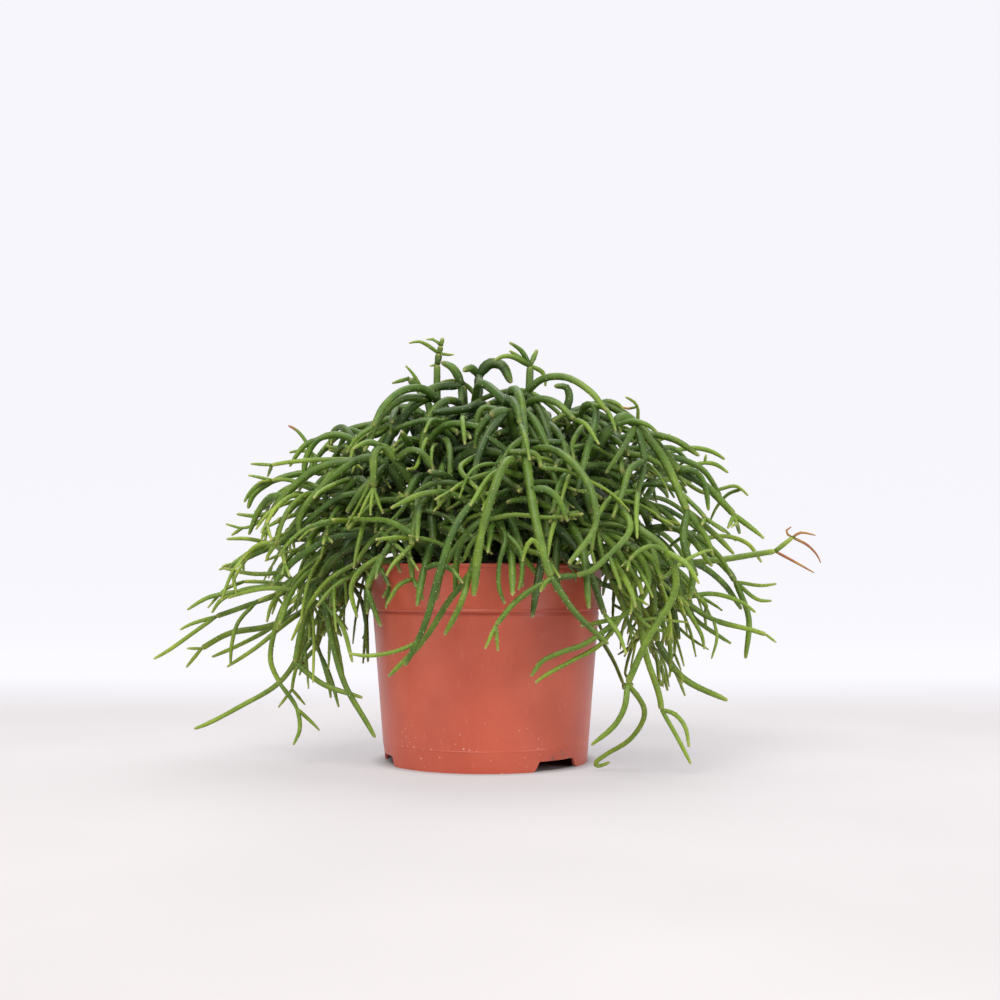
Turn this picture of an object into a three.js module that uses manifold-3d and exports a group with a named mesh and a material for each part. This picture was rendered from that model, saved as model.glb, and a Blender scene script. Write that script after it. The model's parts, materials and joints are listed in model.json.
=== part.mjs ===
// A mistletoe cactus (Rhipsalis) in a terracotta-coloured nursery pot.
//
// Millimetres, +Z up, +X to the right and -Y to the front. The origin is the centre of the pot's footprint,
// on the surface that the pot stands on. Nearly sixty cuttings stand in the potting mix. Each one rises,
// arches over the rim and forks again and again into thinner round stems. Each cutting is one body. A
// settling step bends the stems clear of each other, of the pot and of the table.

import * as THREE from "three";
import { mergeVertices } from "three/addons/utils/BufferGeometryUtils.js";
import Module from "manifold-3d";

const wasm = await Module();
wasm.setup();

// ---------- Driving dimensions ----------

const POT_HEIGHT = 101.5;
const BASE_RADIUS = 52.3;
const WALL = 1.3;
const WALL_TOP_RADIUS = 58.7; // where the wall meets the rim band
const BAND_BOTTOM = 78;
const BAND_RADIUS = 60.0;
const LIP_RADIUS = 60.7;
const LIP_HEIGHT = 1.9;
const FLOOR_UNDERSIDE = 5.2;
const FLOOR_TOP = 6.6;
const POT_SIDES = 40;

const NOTCH_COUNT = 3;
const NOTCH_FIRST_DEG = -47; // 0 is +X and -90 is the front
const NOTCH_WIDTH = 25;
const NOTCH_HEIGHT = 4.9;
const NOTCH_FLARE = 2.2;
const DRAIN_COUNT = 6;
const DRAIN_RADIUS = 4;
const DRAIN_CIRCLE = 36;

const CLEARANCE = 0.35; // between two pieces that touch on the plant
const SOIL_EDGE = 95.5; // height of the mix at the wall
const SOIL_MOUND = 11; // how much higher it is in the middle
const ROOT_DEPTH = 13;
const ROOT_COLLAR = 4; // length of stem that stands straight above the mix

const STEM_GAP = 0.75; // air kept between the skins of two stems
const TABLE_GAP = 0.8;
const HALF_DEPTH = 101; // the plant spreads this far to the front and to the back

// ---------- Small helpers ----------

// Park-Miller random numbers, which any language draws alike.
function seeded(seed) {
  let state = seed;
  return (low, high) => {
    state = (state * 48271) % 2147483647;
    return low + ((high - low) * state) / 2147483647;
  };
}

const wallRadius = (z) =>
  BASE_RADIUS + ((WALL_TOP_RADIUS - BASE_RADIUS) * z) / BAND_BOTTOM;

function soilTop(x, y) {
  const rise = 1 - (x * x + y * y) / (57 * 57);
  const ripple = Math.sin(0.21 * x + 1.3) * Math.cos(0.17 * y - 0.6);
  return SOIL_EDGE + SOIL_MOUND * Math.max(0, rise) + 0.8 * ripple;
}

// ---------- The cuttings ----------

// Each cutting is a list of stems. A stem is [radius at its base, radius at its tip, points...], in mm.
// The first stem rises from the mix, so its first point is only [x, y]. Each later stem starts at the
// nearest joint or bend of a stem listed before it.
const cuttings = {
  standing_twig: [
    [2.1, 1.8, [-16, 8], [-20, 9, 130], [-25, 10, 165], [-26, 10, 192], [-26, 10, 207]],
    [1.8, 1.7, [-26, 10, 207], [-25, 10, 213]],
    [1.7, 1.5, [-25, 10, 213], [-24, 10, 217]],
    [1.5, 1.2, [-24, 10, 217], [-23, 10, 221.5]],
    [1.2, 0.8, [-25, 10, 213], [-31, 9, 217], [-36, 8, 219], [-41, 8, 218]],
    [1.0, 0.7, [-24, 10, 217], [-28, 11, 220.5], [-32, 11, 220.5]],
    [1.0, 0.7, [-25, 10, 213], [-21, 8, 212], [-17, 8, 212]],
    [0.9, 0.6, [-26, 10, 207], [-30, 9, 206]],
  ],
  star_twig: [
    [2.4, 1.9, [14, 0], [18, -1, 140], [22, -1, 175], [24, 0, 190], [23, 0, 205]],
    [1.5, 1.1, [23, 0, 205], [19, -2, 212], [12, -3, 217]],
    [1.3, 1.0, [23, 0, 205], [17, -4, 210], [12, -6, 212]],
    [1.6, 1.1, [23, 0, 205], [15, -7, 208], [10, -9, 209], [4, -11, 206]],
    [1.4, 1.2, [23, 0, 205], [26, 1, 210], [27, 2, 214]],
    [1.4, 1.0, [24, 0, 203], [29, -1, 202], [31, -1, 198], [31, -1, 194]],
  ],
  crown_left_fan: [
    [2.2, 2.0, [-25, 13], [-27, 14, 140], [-30, 16, 180], [-36, 16, 193], [-42, 15, 200]],
    [1.3, 0.8, [-36, 16, 193], [-39, 16, 201], [-44, 15, 207]],
    [1.4, 0.8, [-40, 15, 197], [-46, 13, 199], [-51, 12, 197]],
  ],
  crown_left_arch: [
    [2.6, 2.4, [-8, -4], [-9, -5, 150], [-11, -6, 180], [-12, -6, 194]],
    [2.2, 1.9, [-12, -6, 194], [-24, -10, 193], [-33, -14, 187], [-41, -18, 178], [-46, -20, 166]],
    [2.3, 2.0, [-12, -6, 194], [-15, -8, 200], [-19, -8, 205], [-23, -8, 206]],
    [1.8, 1.3, [-12, -6, 190], [-13, -12, 186], [-12, -15, 180]],
    [2.0, 1.7, [-12, -6, 185], [-18, -26, 184], [-26, -32, 178], [-30, -34, 168], [-31, -36, 156]],
    [1.5, 1.1, [-31, -36, 156], [-28, -42, 150], [-24, -46, 147]],
  ],
  crown_top_arch: [
    [2.6, 2.4, [4, 5], [1, 4, 150], [-4, 3, 188], [-4, 1, 200]],
    [2.9, 2.3, [-4, 1, 200], [2, 0, 206], [8, -2, 205], [12, -4, 200], [13, -6, 195]],
    [2.2, 1.8, [-4, 1, 200], [-8, -5, 203], [-12, -10, 201]],
    [1.6, 1.2, [-4, 1, 196], [-3, -12, 195], [2, -17, 192], [5, -19, 187]],
  ],
  centre_double_arch: [
    [2.5, 2.3, [10, -14], [12, -32, 140], [10, -50, 165], [8, -58, 174], [4, -61, 177], [-1, -62, 173]],
    [2.2, 1.5, [4, -61, 177], [-1, -65, 166], [-4, -68, 157], [-7, -70, 147], [-8, -71, 140],
      [-6, -71, 133]],
    [1.9, 1.3, [-1, -62, 173], [-6, -60, 166], [-8, -60, 157]],
    [1.9, 1.4, [10, -48, 163], [0, -46, 178], [-6, -46, 177], [-8, -47, 168]],
  ],
  centre_long_stem: [
    [2.6, 2.0, [18, -11], [17, -18, 150], [13, -30, 180], [14, -40, 186], [17, -58, 169], [18, -75, 152],
      [20, -87, 135], [23, -95, 119], [26, -98, 104], [29, -98, 95]],
    [1.6, 1.2, [29, -98, 95], [34, -98, 88], [40, -96, 79], [48, -92, 70], [56, -88, 64]],
    [1.5, 1.0, [23, -95, 119], [20, -98, 112], [16, -99, 102]],
    [1.7, 0.95, [18, -75, 152], [11, -76, 152], [7, -77, 145]],
    [1.6, 0.95, [18, -75, 152], [24, -78, 149], [26, -79, 143]],
    [1.9, 1.3, [20, -87, 135], [27, -90, 135], [33, -92, 130], [37, -92, 120]],
    [1.3, 1.0, [29, -98, 95], [26, -99, 92], [24, -99, 88]],
  ],
  right_long_arch: [
    [2.3, 1.4, [26, -8], [25, -20, 135], [24, -40, 152], [28, -58, 157], [35, -66, 157], [43, -75, 151],
      [49, -82, 143], [53, -88, 133], [54, -90, 121], [49, -92, 112], [41, -95, 102]],
    [1.6, 1.2, [28, -58, 157], [34, -62, 148], [40, -66, 138], [43, -70, 126]],
  ],
  right_hook: [
    [2.4, 1.5, [34, 2], [40, -5, 140], [46, -25, 170], [48, -33, 177], [51, -36, 181], [54, -39, 177],
      [52, -48, 166], [49, -55, 157], [46, -60, 146], [42, -64, 133]],
    [2.1, 1.9, [42, -12, 155], [41, -10, 178], [43, -10, 188], [39, -10, 195], [35, -10, 193]],
    [1.5, 0.99, [46, -25, 170], [39, -28, 176], [33, -30, 172]],
  ],
  right_crown_arch: [
    [2.7, 2.5, [37, -15], [43, -22, 130], [50, -35, 152], [57, -43, 162], [63, -45, 170], [69, -45, 174],
      [74, -45, 170]],
    [1.8, 1.2, [74, -45, 170], [70, -50, 162], [65, -52, 156], [58, -54, 145]],
    [1.9, 1.3, [74, -45, 170], [77, -49, 158], [77, -50, 149], [74, -51, 136]],
    [2.1, 1.8, [74, -45, 170], [84, -43, 159], [90, -45, 147], [95, -48, 137], [98, -52, 127]],
    [1.7, 1.2, [98, -52, 127], [103, -53, 118], [108, -54, 112], [110, -54, 105]],
    [1.7, 1.2, [98, -52, 127], [106, -48, 121], [114, -46, 114], [122, -44, 106]],
    [1.9, 1.5, [98, -52, 127], [95, -57, 116], [97, -60, 106], [99, -62, 95], [97, -63, 84]],
  ],
  right_top_arch: [
    [2.4, 2.0, [30, 15], [36, 8, 140], [46, -4, 172], [56, -13, 183], [66, -16, 181], [78, -20, 172],
      [88, -22, 161], [98, -23, 148]],
    [1.7, 1.3, [98, -23, 148], [105, -26, 148], [110, -27, 142], [112, -28, 128]],
    [2.0, 1.7, [98, -23, 148], [107, -20, 144], [114, -20, 139], [121, -21, 132], [126, -22, 126]],
    [1.3, 0.9, [126, -22, 126], [122, -25, 119]],
    [1.3, 0.9, [126, -22, 126], [128, -25, 117]],
    [1.5, 0.99, [126, -22, 126], [134, -22, 121], [141, -22, 114]],
  ],
  right_back_arms: [
    [1.9, 1.6, [29, 27], [42, 27, 145], [62, 25, 166], [80, 24, 168], [96, 24, 161]],
    [1.4, 1.1, [96, 24, 161], [110, 28, 164], [121, 30, 163], [130, 30, 158]],
    [1.3, 1.0, [88, 24, 165], [94, 21, 168], [99, 20, 171]],
    [1.4, 1.1, [96, 24, 161], [105, 21, 153], [114, 19, 155], [122, 19, 155], [130, 19, 150]],
    [1.0, 0.8, [114, 19, 155], [118, 18, 160]],
    [1.3, 0.9, [88, 24, 165], [101, 15, 149], [115, 9, 139], [125, 6, 141], [132, 5, 142], [138, 5, 137]],
    [1.0, 0.9, [80, 24, 168], [81, 15, 180], [80, 12, 186], [74, 11, 190]],
    [0.8, 0.6, [80, 12, 186], [76, 15, 184], [71, 17, 186]],
  ],
  bronze_tipped_arm: [
    [2.0, 1.4, [41, -6], [53, -12, 122], [70, -16, 116], [88, -16, 104], [104, -16, 102],
      [120, -15, 104], [134, -15, 106], [148, -15, 108]],
    [1.4, 1.0, [148, -15, 108], [153, -15, 112], [157, -15, 115]],
    [0.8, 0.5, [148, -15, 108], [158, -16, 102.5], [167.5, -17, 97]],
    [0.8, 0.5, [157, -15, 115], [164.5, -13, 111.5], [169.5, -12, 107], [172, -12, 102]],
    [0.8, 0.5, [157, -15, 115], [161, -17, 117.5], [168, -19, 116]],
    [0.7, 0.5, [157, -15, 115], [153.5, -15, 118], [156.5, -15, 120.5]],
  ],
  right_skirt_arm: [
    [1.9, 1.5, [45, 9], [61, 8, 128], [85, 6, 128], [105, 3, 116], [118, 0, 105], [126, 0, 98],
      [130, 0, 92]],
    [1.5, 1.3, [130, 0, 92], [134, 0, 82], [137, 0, 72], [137, 0, 62], [135, 0, 52]],
    [1.0, 0.9, [130, 0, 92], [141, -2, 90], [151, -3, 91]],
    [1.1, 1.0, [132, 0, 86], [141, 0, 83], [149, 0, 82]],
    [1.3, 1.0, [105, 3, 116], [122, 5, 116], [133, 6, 114], [140, 6, 110], [145, 6, 102]],
  ],
  right_low_spray: [
    [1.9, 1.7, [43, -20], [57, -27, 120], [75, -32, 119], [90, -34, 104], [96, -32, 92], [97, -31, 84]],
    [1.3, 1.0, [97, -31, 84], [107, -30, 86], [117, -30, 86], [126, -30, 83], [135, -30, 77]],
    [1.6, 1.1, [97, -31, 84], [105, -31, 78], [115, -30, 73], [127, -30, 70], [140, -30, 66]],
    [0.8, 0.6, [140, -30, 66], [145, -31, 62]],
    [1.3, 0.9, [97, -31, 84], [102, -37, 74], [106, -38, 68], [108, -38, 59]],
    [0.9, 0.7, [115, -30, 73], [115, -33, 65], [112, -34, 54]],
    [1.2, 1.0, [97, -31, 84], [106, -25, 73], [116, -23, 66], [124, -22, 61]],
  ],
  right_low_long: [
    [2.0, 1.8, [37, -28], [50, -38, 118], [69, -44, 119], [80, -46, 103], [82, -45, 82], [84, -42, 63]],
    [1.7, 1.4, [84, -42, 63], [91, -41, 51], [100, -40, 43], [108, -40, 39], [119, -40, 34]],
    [1.4, 1.0, [82, -45, 82], [88, -49, 68], [90, -50, 56], [89, -50, 46]],
    [1.1, 1.0, [90, -50, 56], [94, -51, 49], [95, -51, 43]],
  ],
  curled_tip_stem: [
    [1.9, 1.7, [30, -36], [42, -52, 122], [60, -68, 125], [76, -78, 116], [84, -81, 108], [88, -80, 98],
      [88, -80, 90], [84, -80, 81], [78, -80, 72], [73, -80, 63], [69, -79, 54], [66, -77, 46]],
    [1.5, 1.1, [66, -77, 46], [65, -80, 38], [62, -80, 30], [57, -78, 24], [49, -75, 17]],
    [1.3, 1.0, [66, -77, 46], [72, -72, 38], [75, -67, 32], [74, -61, 25], [69, -55, 17], [61, -49, 11],
      [56, -46, 7], [53, -45, 4], [56, -41, 2.6], [61, -38, 4]],
  ],
  right_floor_pair: [
    [1.8, 1.4, [24, -41], [37, -57, 119], [56, -68, 117], [69, -67, 98], [73, -64, 78], [76, -61, 62],
      [80, -60, 50], [83, -60, 40], [84, -60, 33]],
    [1.1, 1.0, [84, -60, 33], [88, -60, 26], [93, -60, 17], [98, -60, 7]],
    [1.1, 1.0, [84, -60, 33], [90, -61, 31], [95, -61, 25], [97, -61, 15]],
  ],
  front_left_crossing: [
    [2.1, 1.3, [0, -35], [4, -50, 124], [4, -66, 131], [-5, -80, 131], [-13, -88, 126], [-19, -93, 117],
      [-23, -95, 107], [-26, -95, 96], [-29, -95, 85], [-33, -92, 71], [-38, -88, 61], [-42, -84, 53]],
    [1.6, 1.3, [4, -66, 131], [-2, -80, 122], [-9, -86, 118], [-16, -87, 110], [-18, -86, 100],
      [-19, -85, 84]],
    [1.5, 1.4, [-16, -87, 110], [-23, -84, 101], [-27, -82, 90], [-28, -81, 82]],
  ],
  front_centre_crossing: [
    [2.1, 1.8, [10, -31], [14, -55, 138], [13, -78, 150], [10, -88, 144], [8, -91, 136], [6, -93, 128],
      [4, -94, 119], [2, -94, 110], [1, -94, 101], [-1, -93, 86]],
    [1.6, 1.2, [2, -94, 110], [-2, -88, 98], [-8, -87, 90], [-14, -87, 82], [-20, -87, 72],
      [-28, -85, 62], [-35, -83, 55], [-42, -80, 48]],
    [1.1, 0.9, [-28, -85, 62], [-42, -82, 59], [-52, -80, 58], [-61, -79, 59]],
    [1.5, 1.3, [1, -94, 101], [-5, -95, 86], [-9, -94, 77], [-14, -92, 68]],
  ],
  front_right_crossing: [
    [1.9, 1.4, [28, -26], [42, -45, 122], [58, -64, 126], [65, -78, 118], [62, -84, 110], [54, -87, 103],
      [47, -88, 97], [40, -88, 95]],
    [1.4, 1.2, [40, -88, 95], [34, -89, 95], [25, -90, 92], [16, -90, 87], [9, -90, 80], [3, -90, 73]],
    [1.0, 0.8, [3, -90, 73], [0, -90, 68], [-2, -90, 62]],
    [1.0, 0.8, [3, -90, 73], [4, -90, 67], [4, -90, 61]],
    [1.1, 0.9, [54, -87, 103], [58, -90, 96], [60, -91, 88]],
  ],
  front_looped_pair: [
    [1.7, 1.2, [36, -35], [52, -56, 115], [68, -70, 110], [76, -74, 97], [74, -72, 86], [66, -70, 78],
      [58, -70, 71], [49, -70, 65], [40, -70, 60], [31, -70, 58], [25, -70, 54], [21, -70, 48]],
    [1.1, 1.0, [66, -70, 78], [54, -68, 63], [40, -67, 55], [30, -68, 50], [23, -69, 45]],
    [1.1, 1.0, [58, -70, 71], [50, -73, 73], [44, -75, 72]],
  ],
  front_short_stem: [
    [1.7, 1.0, [-7, -41], [-3, -58, 122], [6, -74, 122], [11, -84, 116], [10, -88, 108], [8, -89, 100],
      [8, -89, 92], [11, -89, 83]],
    [1.2, 1.0, [11, -84, 116], [18, -88, 108], [18, -90, 98], [16, -90, 90]],
    [1.2, 0.9, [6, -74, 122], [-4, -76, 112], [-8, -76, 104], [-14, -77, 101]],
  ],
  front_left_short: [
    [1.9, 1.5, [-20, -37], [-28, -56, 120], [-40, -68, 117], [-48, -75, 106], [-53, -75, 97],
      [-56, -74, 90]],
    [1.3, 1.1, [-56, -74, 90], [-54, -75, 82], [-49, -76, 72]],
    [1.4, 1.2, [-40, -68, 117], [-37, -76, 108], [-35, -80, 102], [-34, -81, 95]],
    [1.2, 1.0, [-34, -81, 95], [-39, -82, 93], [-43, -82, 89], [-46, -82, 83]],
    [1.2, 1.0, [-34, -81, 95], [-31, -83, 90], [-29, -83, 85]],
    [1.4, 1.1, [-48, -75, 106], [-60, -70, 98], [-64, -68, 88], [-61, -68, 76]],
  ],
  left_big_arch: [
    [2.6, 1.5, [-22, -14], [-34, -18, 128], [-48, -20, 148], [-59, -20, 156], [-63, -20, 161],
      [-69, -20, 165], [-75, -20, 167], [-82, -20, 166], [-87, -20, 163], [-91, -20, 156],
      [-92, -20, 150], [-92, -20, 143]],
    [2.0, 1.4, [-48, -20, 148], [-60, -26, 147], [-72, -28, 148], [-82, -28, 143], [-86, -28, 136]],
  ],
  left_front_arch: [
    [2.6, 1.7, [-27, -24], [-37, -32, 128], [-46, -38, 146], [-56, -40, 153], [-65, -40, 152],
      [-73, -40, 146], [-81, -41, 139], [-87, -42, 132], [-91, -42, 126], [-93, -42, 121],
      [-92, -42, 116]],
    [2.1, 1.7, [-46, -38, 146], [-54, -50, 144], [-60, -52, 138], [-65, -52, 132], [-68, -52, 126]],
    [1.6, 1.2, [-73, -40, 146], [-80, -34, 138], [-88, -32, 134]],
  ],
  pale_shoot_stem: [
    [2.2, 1.9, [-17, -27], [-30, -42, 132], [-44, -54, 151], [-51, -59, 158], [-54, -61, 152],
      [-54, -62, 145], [-54, -62, 138]],
    [0.99, 0.7, [-54, -62, 138], [-58, -64, 130], [-61, -65, 123]],
    [0.99, 0.7, [-54, -62, 138], [-55, -65, 131], [-55, -66, 124]],
    [0.99, 0.7, [-54, -62, 138], [-52, -64, 131], [-49, -65, 125]],
    [0.99, 0.7, [-54, -62, 142], [-61, -62, 129], [-67, -62, 119]],
    [1.8, 1.2, [-44, -54, 151], [-36, -60, 156], [-29, -62, 153], [-25, -62, 146]],
  ],
  left_outer_arch: [
    [2.1, 1.5, [-35, 0], [-50, 0, 130], [-70, 1, 145], [-86, 1, 149], [-97, 0, 148], [-107, 0, 146],
      [-117, 0, 141], [-122, 0, 136], [-124, 0, 130]],
    [1.3, 1.0, [-97, 0, 148], [-105, -5, 135], [-112, -6, 128], [-120, -6, 126], [-129, -6, 127]],
    [0.9, 0.8, [-112, -6, 128], [-121, -4, 121], [-128, -3, 120], [-135, -3, 122]],
    [1.0, 0.8, [-128, -3, 120], [-132, -3, 116]],
    [1.1, 0.9, [-86, 1, 149], [-92, 4, 160], [-98, 5, 170], [-104, 5, 174]],
    [1.1, 0.9, [-86, 1, 149], [-90, 7, 158], [-97, 9, 161], [-104, 9, 160]],
  ],
  left_mid_arm: [
    [2.0, 1.3, [-31, -12], [-47, -12, 120], [-66, -11, 126], [-83, -10, 121], [-91, -10, 117],
      [-101, -10, 113], [-111, -10, 110], [-119, -10, 107], [-126, -10, 103], [-132, -10, 99]],
    [1.1, 1.0, [-111, -10, 110], [-121, -12, 114], [-133, -12, 114]],
    [1.1, 0.9, [-101, -10, 113], [-108, -17, 112], [-111, -19, 104]],
    [1.2, 1.0, [-91, -10, 117], [-98, -6, 103], [-107, -4, 97], [-117, -3, 96], [-127, -3, 97],
      [-136, -3, 99]],
  ],
  left_low_fan: [
    [1.8, 1.4, [-37, 9], [-52, 7, 122], [-73, 4, 118], [-88, 1, 102], [-97, 0, 91], [-110, 0, 85],
      [-123, 0, 80], [-140, 0, 74]],
    [1.1, 0.9, [-140, 0, 74], [-149, 1, 72], [-159, 1, 67]],
    [1.1, 1.0, [-140, 0, 74], [-151, -1, 66], [-162, -1, 58], [-172, -1, 52]],
    [1.4, 1.0, [-97, 0, 91], [-108, -6, 90], [-117, -7, 89], [-128, -7, 87], [-136, -7, 83],
      [-141, -7, 76]],
    [1.0, 1.0, [-97, 0, 91], [-107, 6, 91], [-117, 7, 92], [-127, 7, 92]],
    [1.1, 0.9, [-123, 0, 80], [-127, -6, 72], [-130, -8, 63], [-131, -8, 49]],
  ],
  left_low_droop: [
    [1.8, 1.4, [-34, 22], [-53, 21, 120], [-75, 18, 112], [-87, 14, 92], [-95, 10, 78], [-107, 8, 71],
      [-117, 8, 68], [-131, 8, 66], [-141, 8, 62], [-149, 8, 57]],
    [1.0, 0.9, [-149, 8, 57], [-153, 8, 53], [-157, 8, 47]],
    [0.9, 0.8, [-149, 8, 57], [-157, 9, 57]],
    [1.4, 1.0, [-87, 14, 92], [-100, 18, 80], [-111, 18, 70], [-122, 17, 62], [-132, 16, 58],
      [-145, 15, 52]],
    [1.3, 1.0, [-95, 10, 78], [-107, 1, 68], [-114, -1, 62], [-123, -2, 55], [-134, -2, 48]],
  ],
  left_floor_stem: [
    [1.8, 1.1, [-39, -3], [-57, -5, 117], [-78, -6, 108], [-89, -6, 86], [-92, -6, 66], [-97, -5, 54],
      [-102, -3, 45], [-108, -1, 39], [-117, 0, 34], [-128, 0, 27], [-138, 0, 21], [-151, 0, 16]],
    [1.2, 0.9, [-92, -6, 66], [-86, -4, 56], [-82, -3, 44], [-80, -3, 32]],
    [1.1, 1.0, [-89, -6, 86], [-80, -8, 76], [-74, -9, 64]],
  ],
  left_droop_pair: [
    [1.7, 1.3, [-31, -31], [-47, -36, 118], [-70, -33, 116], [-89, -27, 100], [-100, -22, 84],
      [-105, -20, 72], [-108, -20, 62], [-109, -20, 54], [-107, -20, 47], [-104, -20, 41]],
    [1.1, 1.0, [-104, -20, 41], [-99, -20, 35], [-96, -20, 30], [-94, -20, 23], [-94, -20, 17],
      [-97, -20, 10]],
    [1.0, 0.8, [-97, -20, 31], [-91, -19, 25], [-84, -18, 17]],
    [1.2, 0.9, [-89, -27, 100], [-99, -31, 90], [-106, -32, 82], [-109, -32, 72]],
  ],
  left_inner_droop: [
    [1.8, 1.6, [-23, -43], [-41, -48, 116], [-64, -44, 112], [-79, -37, 100], [-87, -33, 88],
      [-90, -31, 76], [-93, -30, 65], [-95, -30, 53]],
    [1.4, 1.1, [-95, -30, 53], [-88, -31, 47], [-80, -32, 42], [-71, -33, 39], [-61, -35, 36]],
    [1.6, 1.2, [-79, -37, 100], [-80, -41, 84], [-76, -42, 66], [-72, -43, 52], [-68, -44, 41],
      [-62, -44, 31], [-54, -44, 17]],
    [1.2, 1.0, [-80, -41, 84], [-73, -44, 76], [-67, -46, 64], [-65, -47, 54]],
  ],
};

// ---------- Cuttings that follow a rule: the crown all round, and the back ----------

// Ranges in millimetres: where a stem enters the mix, how high it arches, and how far out and low it ends.
const families = [
  { name: "crown_stem", count: 12, from: 0.2, span: 6.283, root: [9, 27], reach: [60, 82], apex: [166, 188],
    end: [108, 130], shoots: 4, length: [36, 56], girth: [1.9, 2.3], droop: 0.55 },
  { name: "back_stem", count: 9, from: 0.38, span: 2.4, root: [33, 44], reach: [74, 90], apex: [136, 156],
    end: [62, 96], shoots: 3, length: [26, 38], girth: [1.6, 1.9], droop: 0.45 },
  { name: "rim_stem", count: 3, from: 3.5, span: 2.3, root: [30, 42], reach: [62, 74], apex: [134, 152],
    end: [104, 114], shoots: 4, length: [26, 40], girth: [1.8, 2.1], droop: 0.5 },
];

const CANE_RADIUS = [2.3, 2.6]; // of the first stem of such a cutting, at its root
const CANE_TIP_RADIUS = 1.7;

// One arching stem: up from `root`, over at `apex` and down to `end`, `reach` from the axis of the pot.
function archPoints(draw, azimuth, root, reach, apex, end) {
  const swing = draw(-0.7, 0.7);
  const at = (radius, turn, z) => [radius * Math.cos(azimuth + turn), radius * Math.sin(azimuth + turn), z];
  return [
    at(root, 0, 0).slice(0, 2),
    at(root + 4, 0.1 * swing, 0.5 * apex + 50),
    at(0.35 * reach + 0.4 * root, 0.3 * swing, apex - 6),
    at(0.6 * reach, 0.6 * swing, apex),
    at(0.85 * reach, 0.8 * swing, 0.65 * apex + 0.35 * end),
    at(reach, swing, end),
  ];
}

function ruledCuttings() {
  const draw = seeded(2025);
  const made = [];
  for (const family of families)
    for (let i = 0; i < family.count; i++) {
      const azimuth = family.from + ((i + 0.5) / family.count) * family.span + draw(-0.1, 0.1);
      const [root, reach, apex, end] = ["root", "reach", "apex", "end"].map((key) => draw(...family[key]));
      const points = archPoints(draw, azimuth, root, reach, apex, end);
      const name = `${family.name}_${String(i + 1).padStart(2, "0")}`;
      made.push([name, [[draw(...CANE_RADIUS), CANE_TIP_RADIUS, ...points]], family]);
    }
  return made;
}

const ROOT_SPACING = 7.2; // between the axes of two cuttings where they enter the mix
const ROOT_LIMIT = 47; // greatest distance of a root from the axis of the pot

// Moves the feet of the cuttings apart until each has a hole of its own.
function spreadRoots(all) {
  const feet = all.map((stems) => stems[0][2]);
  for (let step = 0; step < 200; step++)
    for (let i = 0; i < feet.length; i++)
      for (let j = i + 1; j < feet.length; j++) {
        const dx = feet[j][0] - feet[i][0];
        const dy = feet[j][1] - feet[i][1];
        const d = Math.hypot(dx, dy);
        if (d >= ROOT_SPACING) continue;
        const share = (0.5 * (ROOT_SPACING - d)) / Math.max(d, 0.1);
        feet[i][0] -= share * dx;
        feet[i][1] -= share * dy;
        feet[j][0] += share * dx;
        feet[j][1] += share * dy;
        for (const foot of [feet[i], feet[j]]) {
          const over = Math.hypot(...foot) / ROOT_LIMIT;
          if (over > 1) foot.forEach((c, k) => (foot[k] = c / over));
        }
      }
}

// ---------- From control points to particles ----------

// The plant is a set of particles joined into strands. A strand's first particle is its joint on its parent.
const plant = { position: [], radius: [], pinned: [], strands: [], names: [] };

const MAX_TURN = 0.48; // radians of bend between two particles
const MAX_RUN = 14; // radii between two particles on a straight stretch

// Follows a smooth curve through the points and keeps a place wherever the stem has bent or run far enough.
function trace(points, radius) {
  const curve = new THREE.CatmullRomCurve3(
    points.map((p) => new THREE.Vector3(...p)),
    false,
    "catmullrom",
    0.5,
  );
  const fine = 8 * (points.length - 1);
  const samples = [];
  for (let i = 0; i <= fine; i++) samples.push(curve.getPoint(i / fine));
  const kept = [0];
  let run = 0;
  let turn = 0;
  for (let i = 1; i < fine; i++) {
    const before = samples[i].clone().sub(samples[i - 1]);
    const after = samples[i + 1].clone().sub(samples[i]);
    run += before.length();
    turn += before.angleTo(after);
    if (run < 2.5 * radius || (turn < MAX_TURN && run < MAX_RUN * radius)) continue;
    kept.push(i);
    run = 0;
    turn = 0;
  }
  if (run < 2 * radius && kept.length > 2) kept.pop();
  kept.push(fine);
  return kept.map((i) => samples[i].toArray());
}

function addParticle(p, radius, pinned) {
  plant.position.push(p);
  plant.radius.push(radius);
  plant.pinned.push(pinned);
  return plant.position.length - 1;
}

function addStrand(cutting, baseRadius, tipRadius, points, parent, joint) {
  const path = trace(points, 0.5 * (baseRadius + tipRadius));
  const ids = [];
  path.forEach((p, i) => {
    const radius = baseRadius + ((tipRadius - baseRadius) * i) / (path.length - 1);
    ids.push(i === 0 && joint >= 0 ? joint : addParticle(p, radius, false));
  });
  plant.strands.push({ cutting, ids, baseRadius, tipRadius, parent });
  return plant.strands.length - 1;
}

function nearestParticle(cutting, p) {
  let best = -1;
  let bestDistance = 1e9;
  plant.strands.forEach((strand, s) => {
    if (strand.cutting !== cutting) return;
    for (const id of strand.ids) {
      if (plant.pinned[id]) continue;
      const q = plant.position[id];
      const d = Math.hypot(p[0] - q[0], p[1] - q[1], p[2] - q[2]);
      if (d < bestDistance - 1e-6) {
        bestDistance = d;
        best = [s, id];
      }
    }
  });
  return best;
}

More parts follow.
